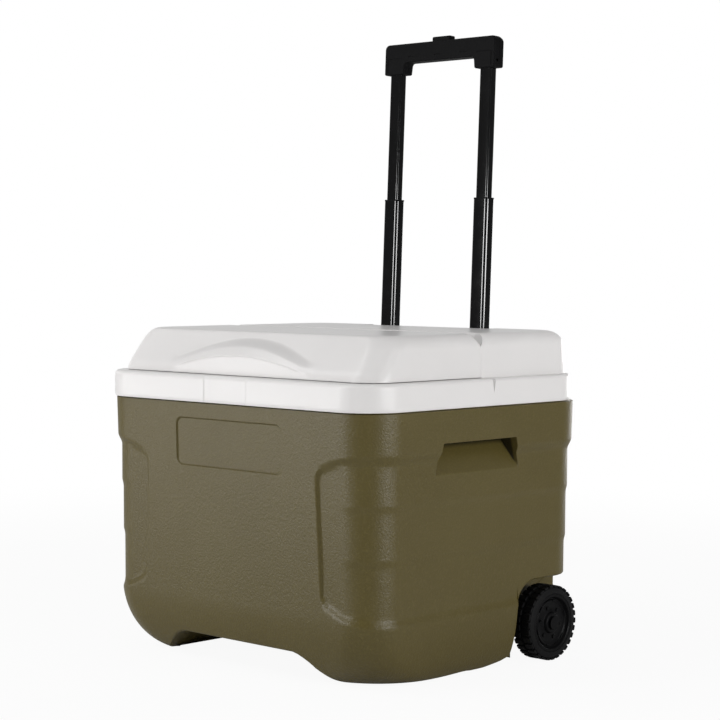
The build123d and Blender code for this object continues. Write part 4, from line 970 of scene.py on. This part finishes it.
# Outline of rounded corners, each of its edges moved inwards by its own inset
def roundedOutline(corners, insets, steps=6):
    count = len(corners)
    spots = [Vector(c[:2]) for c in corners]
    lines = []
    for k in range(count):
        along = (spots[(k + 1) % count] - spots[k]).normalized()
        lines.append((spots[k] + Vector((-along.y, along.x)) * insets[k], along))
    outline = []
    for k in range(count):
        (p, d), (q, e) = lines[k - 1], lines[k]
        bend = d.x * e.y - d.y * e.x
        here = p + d * (((q.x - p.x) * e.y - (q.y - p.y) * e.x) / bend)
        turned = abs(bend) / bend
        radius = max(corners[k][2] - turned * (insets[k - 1] + insets[k]) / 2, 0.3)
        half = (pi - d.angle(e)) / 2
        centre = here + (e - d).normalized() * (radius / sin(half))
        first = here - d * (radius / tan(half)) - centre
        for step in range(steps + 1):
            angle = turned * d.angle(e) * step / steps
            outline.append(centre + Matrix.Rotation(angle, 2) @ first)
    return outline


def edgeInset(radius, past):
    return radius - sqrt(max(radius * radius - max(past + radius, 0.0) ** 2, 0.0))


def makeGrip():
    h = handle
    half, wide, flare = h["half"], h["blockWide"], h["flare"]
    blockEnd = half - wide - h["blockLean"]
    barEnd = half - wide - flare
    corners = [(x, h["blockLow"], h["footRound"]) for x in (-half, -blockEnd)]
    corners += [(x, h["barLow"], h["innerRound"]) for x in (-barEnd, barEnd)]
    corners += [(x, h["blockLow"], h["footRound"]) for x in (blockEnd, half)]
    corners += [(x, h["top"], h["topRound"]) for x in (half, -half)]
    topEdge = len(corners) - 2
    for name, node, sign in (("gripFrontHalf", "grip_front", -1), ("gripRearHalf", "grip_rear", 1)):
        crown = h["crownFront"] if sign < 0 else h["crownRear"]
        depths = [h["seam"] / 2] + [h["depth"] - crown * (1 - sin(pi / 2 * k / 9)) for k in range(10)]
        points = []
        for deep in depths:
            insets = [edgeInset(crown if k == topEdge else h["edge"], deep - h["depth"])
                      for k in range(len(corners))]
            points += [(p.x, sign * deep, p.y) for p in roundedOutline(corners, insets)]
        count = len(points) // len(depths)
        faces = gridFaces(len(depths), count, True)
        faces += [tuple(range(count)), tuple(range(len(points) - count, len(points)))]
        mesh = newMesh(name, points, faces)
        faceOut(mesh)
        # each cut is a block of (x from, to), (y from, to) and (z from, to)
        keyHalf, keyDeep = h["buttonHalf"] + h["buttonPlay"], h["buttonDeep"] + h["buttonPlay"]
        cuts = [((-keyHalf, keyHalf), (-keyDeep, keyDeep), (h["buttonLow"] - h["keyRoom"], h["keyRoomTop"]))]
        poleWide, poleDeep = h["poleHalf"]
        poleZ = (h["poleLow"], h["barLow"] + h["poleOver"])
        for x in (-h["poleX"], h["poleX"]):
            cuts.append(((x - poleWide, x + poleWide), (-poleDeep, poleDeep), poleZ))
        skin = sorted((sign * (h["depth"] - h["slotDeep"]), sign * (h["depth"] + 1.0)))
        slotZ = (h["slotUp"] - h["slotThick"], h["slotUp"] + h["slotThick"])
        cuts += [((x - h["slotHalf"], x + h["slotHalf"]), skin, slotZ) for x in h["slots"]]
        for end in (-1, 1):
            cuts += [(sorted(end * x for x in h["lineX"]), skin, h["lineZ"]),
                     (sorted(end * x for x in h["uprightX"]), skin, h["uprightZ"])]
        mesh = cutAway(mesh, [blockMesh("gripCut", *zip(*cut)) for cut in cuts])
        mesh.transform(leanTurn)
        settle(name, mesh, satinBlack, "handle_top", "grip_plastic", (node,), 35)
    button = blockMesh("button", (-h["buttonHalf"], -h["buttonDeep"], h["buttonLow"]),
                       (h["buttonHalf"], h["buttonDeep"], h["buttonTop"]), h["keyRound"])
    button.transform(leanTurn)
    settle("releaseKey", button, satinBlack, "release", "grip_plastic", ("release_button",), 35)


makeGrip()
print("grip made")

tube = {
    "poleX": 85.0, "wall": 1.2,
    "middle": {"wide": 26.4, "deep": 17.4, "round": 4.6, "low": -15.0, "long": 286.0},
    "inner": {"wide": 20.6, "deep": 12.8, "round": 2.6, "low": 220.5, "long": 249.0},
}


# Rounded ring drawn out along Z into a tube
def buildTube(wire, given):
    rings = []
    for back in (given["wall"] * 0.0, given["wall"]):
        outline = wire.shape("CurvePrimitiveQuadrilateral", Width=given["wide"] - 2 * back,
                             Height=given["deep"] - 2 * back)
        rings.append(wire.node("GeometryNodeFilletCurve", {"mode": "POLY"},
                               {"Curve": outline, "Radius": given["round"] - back, "Count": 10}))
    ring = wire.shape("FillCurve", Curve=wire.join(*rings))
    drawn = wire.shape("ExtrudeMesh", Mesh=ring, Offset=wire.vector(z=given["long"]), Offset_Scale=1.0,
                       Individual=False)
    whole = wire.join(drawn, wire.shape("FlipFaces", Mesh=ring))
    return wire.shape("Transform", Geometry=whole, Translation=wire.vector(given["poleX"], z=given["low"]))


def makeTube(kind, body, name, side):
    sizes = {key: value * mm for key, value in tube[kind].items()}
    sizes.update({"poleX": side * tube["poleX"] * mm, "wall": tube["wall"] * mm})
    poleName = f"{kind}Pole_{name}"
    mesh = grow(poleName, sizes, buildTube, newMesh(poleName), blackPaint)
    mesh.transform(leanTurn)
    settle(poleName, mesh, blackPaint, body, "tube_paint", (f"{kind}_tube_{name}",), 35)


for sideName, sideSign in (("left", -1), ("right", 1)):
    makeTube("middle", "handle_middle", sideName, sideSign)
    makeTube("inner", "handle_top", sideName, sideSign)
print("tubes made")

screw = {"headR": 3.2, "headH": 2.2, "slotWide": 1.0, "slotLong": 4.2, "slotDeep": 1.1}
screwSpots = {
    "bezel": [(x, 184.47, 384.0) for x in (-110.0, 110.0)],
    "bracket": [(x, wheel["axleY"] + y, 37.2) for x in (-187.0, 187.0) for y in (-13.3, 13.3)],
    "grip": [(x, 7.8, 493.0) for x in (-52.0, 52.0)],
}


# Round screw heads with a cross recess, one on each point of the mesh that comes in
def buildScrews(wire, given):
    head = wire.shape("MeshCylinder", Vertices=24, Side_Segments=2, Radius=given["headR"],
                      Depth=given["headH"])
    stood = wire.shape("Transform", Geometry=head, Translation=wire.vector(z=given["headH"] * 0.5))
    cut = wire.node("GeometryNodeMeshBoolean", {"operation": "DIFFERENCE"}, {0: stood})
    for turn in (0.0, pi / 2):
        size = wire.vector(given["slotLong"], given["slotWide"], given["slotDeep"] * 2)
        bar = wire.shape("Transform", Geometry=wire.shape("MeshCube", Size=size),
                         Translation=wire.vector(z=given["headH"]), Rotation=(0, 0, turn))
        wire.tree.links.new(bar.socket, cut.socket.node.inputs[1])
    facing = wire.vector(given["tilt"], z=given["spin"])
    return wire.shape("InstanceOnPoints", Points=given["Geometry"], Instance=cut, Rotation=facing)


def makeScrews(name, places, tilt, spin, body, node, moved=None):
    sizes = {key: value * mm for key, value in screw.items()}
    sizes.update({"tilt": tilt, "spin": spin})
    mesh = grow(name, sizes, buildScrews, newMesh(name, places), zincSteel)
    if moved:
        mesh.transform(moved)
    return settle(name, mesh, zincSteel, body, "bright_steel", (node,), 30)


makeScrews("bezelScrewHeads", screwSpots["bezel"], 0.0, 0.4, "body", "bezel_screws")
makeScrews("bracketScrewHeads", screwSpots["bracket"], pi, 0.9, "body", "bracket_screws")
makeScrews("gripScrewHeads", screwSpots["grip"], -pi / 2, 0.2, "handle_top", "grip_screws", leanTurn)
print("screws made")

hidden = {"foamLow": 17.0, "pressAxis": (0.0, 0.041876, 0.999123), "springSink": 0.3, "springKeep": 0.05}


def nodeCopy(name):
    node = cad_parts[name]
    mesh = node.data.copy()
    mesh.transform(node.matrix_world)
    return mesh


# Foam lifted clear of the shell's raised rail ends, and the key's spring given its own mesh
def makeHidden():
    foam = nodeCopy("foam_core")
    for vertex in foam.vertices:
        vertex.co.z = max(vertex.co.z, hidden["foamLow"] * mm)
    settle("foamBlock", foam, foamFill, "body", "foam", ("foam_core",))
    coil = nodeCopy("button_spring")
    spring = settle("keySpring", coil, zincSteel, "handle_top", "bright_steel", ("button_spring",))
    axis = Vector(hidden["pressAxis"])
    foot = min(coil.vertices, key=lambda vertex: axis.dot(vertex.co)).co.copy()
    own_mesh(spring)


makeHidden()
print("hidden pieces made")

# CAD nodes that keep their shape get their finish, those that come in pairs by their shared name
singleNodes = {
    "deck_foam": foamFill, "lid_foam": foamFill, "inner_liner": linerPlastic, "deck_liner": linerPlastic,
    "lid_liner": linerPlastic, "lid_gasket": sealRubber, "hinge_pin": zincSteel, "guide_foot": slideNylon,
    "handle_bezel": satinBlack, "axle": zincSteel, "grip_pins": zincSteel, "release_bar": slideNylon,
}
pairedNodes = {
    "guide_tube": zincSteel, "axle_bracket": slideNylon, "axle_spacer": slideNylon, "axle_cap": wheelBlack,
    "middle_foot": slideNylon, "middle_collar": satinBlack, "inner_foot": slideNylon, "lock_rod": zincSteel,
}
nodeFinish = dict(singleNodes)
for pairName, material in pairedNodes.items():
    nodeFinish.update({f"{pairName}_{sideName}": material for sideName in ("left", "right")})
for nodeName, material in nodeFinish.items():
    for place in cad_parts[nodeName].material_slots:
        place.material = material
print("nodes dressed")

studio = {
    "lens": 99.86, "sensor": 36.0, "spot": (1.8967, -1.9329, 0.5253), "azimuth": 43.94, "elevation": 2.76,
    "roll": 0.23, "clip": 50.0, "horizon": 0.06, "rear": 0.78, "rearWay": (-0.7, 0.7, 0.0),
    "rearRamp": (0.3, 0.95), "zenith": 0.36, "zenithRamp": (0.0, 0.9), "glossShare": 0.06,
    "floorReach": 9.0, "floorFade": (0.9, 2.2), "floorGlow": 0.93,
    "floorTones": ((0.83, 0.83, 0.83, 1), (0.8, 0.8, 0.8, 1)),
}


def aimCamera():
    c = studio
    a, e, r = radians(c["azimuth"]), radians(c["elevation"]), radians(c["roll"])
    back = Vector((sin(a) * cos(e), -cos(a) * cos(e), sin(e)))
    right = Vector((cos(a), sin(a), 0))
    up = back.cross(right)
    axisX = right * cos(r) + up * sin(r)
    axisY = up * cos(r) - right * sin(r)
    lens = bpy.data.cameras.new("photoCamera")
    lens.lens = c["lens"]
    lens.sensor_width = c["sensor"]
    lens.sensor_fit = "HORIZONTAL"
    lens.clip_end = c["clip"]
    camera = addThing("photoCamera", lens)
    turn = Matrix((axisX, axisY, back)).transposed().to_4x4()
    camera.matrix_world = Matrix.Translation(c["spot"]) @ turn
    bpy.context.scene.camera = camera


def softBox(name, spot, target, width, height, power):
    lamp = bpy.data.lights.new(name, "AREA")
    lamp.shape = "RECTANGLE"
    lamp.size = width
    lamp.size_y = height
    lamp.energy = power
    thing = addThing(name, lamp)
    thing.location = spot
    thing.rotation_euler = (Vector(target) - Vector(spot)).to_track_quat("-Z", "Y").to_euler()
    thing.visible_camera = False


# White to the eye, a small share of that in reflections and a plain soft level to everything it lights
def lightWorld():
    s = studio
    world = bpy.data.worlds.new("paleRoom")
    start = emptyTree(world)
    seen = start.node("ShaderNodeLightPath")
    mirrored = Wire(start.tree, seen.socket.node.outputs["Is Glossy Ray"])
    through = Wire(start.tree, seen.socket.node.outputs["Is Transmission Ray"])
    show = start.sum("MINIMUM", seen + s["glossShare"] * mirrored + through, 1.0)
    way = start.node("ShaderNodeTexCoord")
    height = start.node("ShaderNodeSeparateXYZ", None, {0: way}, 2)
    behind = start.node("ShaderNodeVectorMath", {"operation": "DOT_PRODUCT"}, {0: way, 1: s["rearWay"]}, 1)
    around = s["horizon"] + (s["rear"] - s["horizon"]) * start.ramp(behind, *s["rearRamp"])
    plain = around + (s["zenith"] - around) * start.ramp(height, *s["zenithRamp"])
    level = plain + (1.0 - plain) * show
    glow = start.node("ShaderNodeBackground", None, {"Color": (1, 1, 1, 1), "Strength": level})
    start.node("ShaderNodeOutputWorld", None, {"Surface": glow})
    bpy.context.scene.world = world


# Floor that keeps the shadow near the object and fades to white further out
def layFloor():
    material = bpy.data.materials.new("paleFloor")
    start = emptyTree(material)
    place = start.node("ShaderNodeTexCoord", None, None, 3)
    away = start.node("ShaderNodeVectorMath", {"operation": "LENGTH"}, {0: place}, 1)
    far = start.ramp(away, *studio["floorFade"])
    colour = start.blend(start.noise(place, 3.0), *studio["floorTones"])
    matt = start.node("ShaderNodeBsdfDiffuse", None, {"Color": colour})
    glow = start.node("ShaderNodeEmission", None, {"Color": (1, 1, 1, 1), "Strength": 1.0})
    seen = start.node("ShaderNodeLightPath")
    share = seen * (studio["floorGlow"] + (1.0 - studio["floorGlow"]) * far)
    mixed = start.node("ShaderNodeMixShader", None, {0: share, 1: matt, 2: glow})
    start.node("ShaderNodeOutputMaterial", None, {"Surface": mixed})
    reach = studio["floorReach"]
    mesh = bpy.data.meshes.new("studioFloor")
    mesh.from_pydata([(-reach, -reach, 0), (reach, -reach, 0), (reach, reach, 0), (-reach, reach, 0)], [],
                     [(0, 1, 2, 3)])
    mesh.materials.append(material)
    addThing("studioFloor", mesh)


aimCamera()
lightWorld()
layFloor()
softBox("keyBox", (-1.02, -2.51, 0.74), (0, 0, 0.4), 1.0, 0.42, 25)
softBox("sideBox", (2.8, 0.1, 0.62), (0, 0, 0.4), 1.6, 0.38, 34)
softBox("frontFill", (-1.5, -1.9, 2.6), (0, 0, 0.3), 1.8, 1.4, 26)
softBox("sideFill", (2.6, -0.2, 2.4), (0, 0, 0.3), 1.4, 1.2, 8)
softBox("rearFill", (-0.35, 2.9, 0.42), (0, 0, 0.3), 1.4, 0.7, 13)
softBox("lowSheen", (-1.6, -1.85, 0.16), (0, -0.2, 0.2), 1.4, 0.3, 6.6)
bpy.context.scene.view_settings.view_transform = "Standard"
print("studio lit")
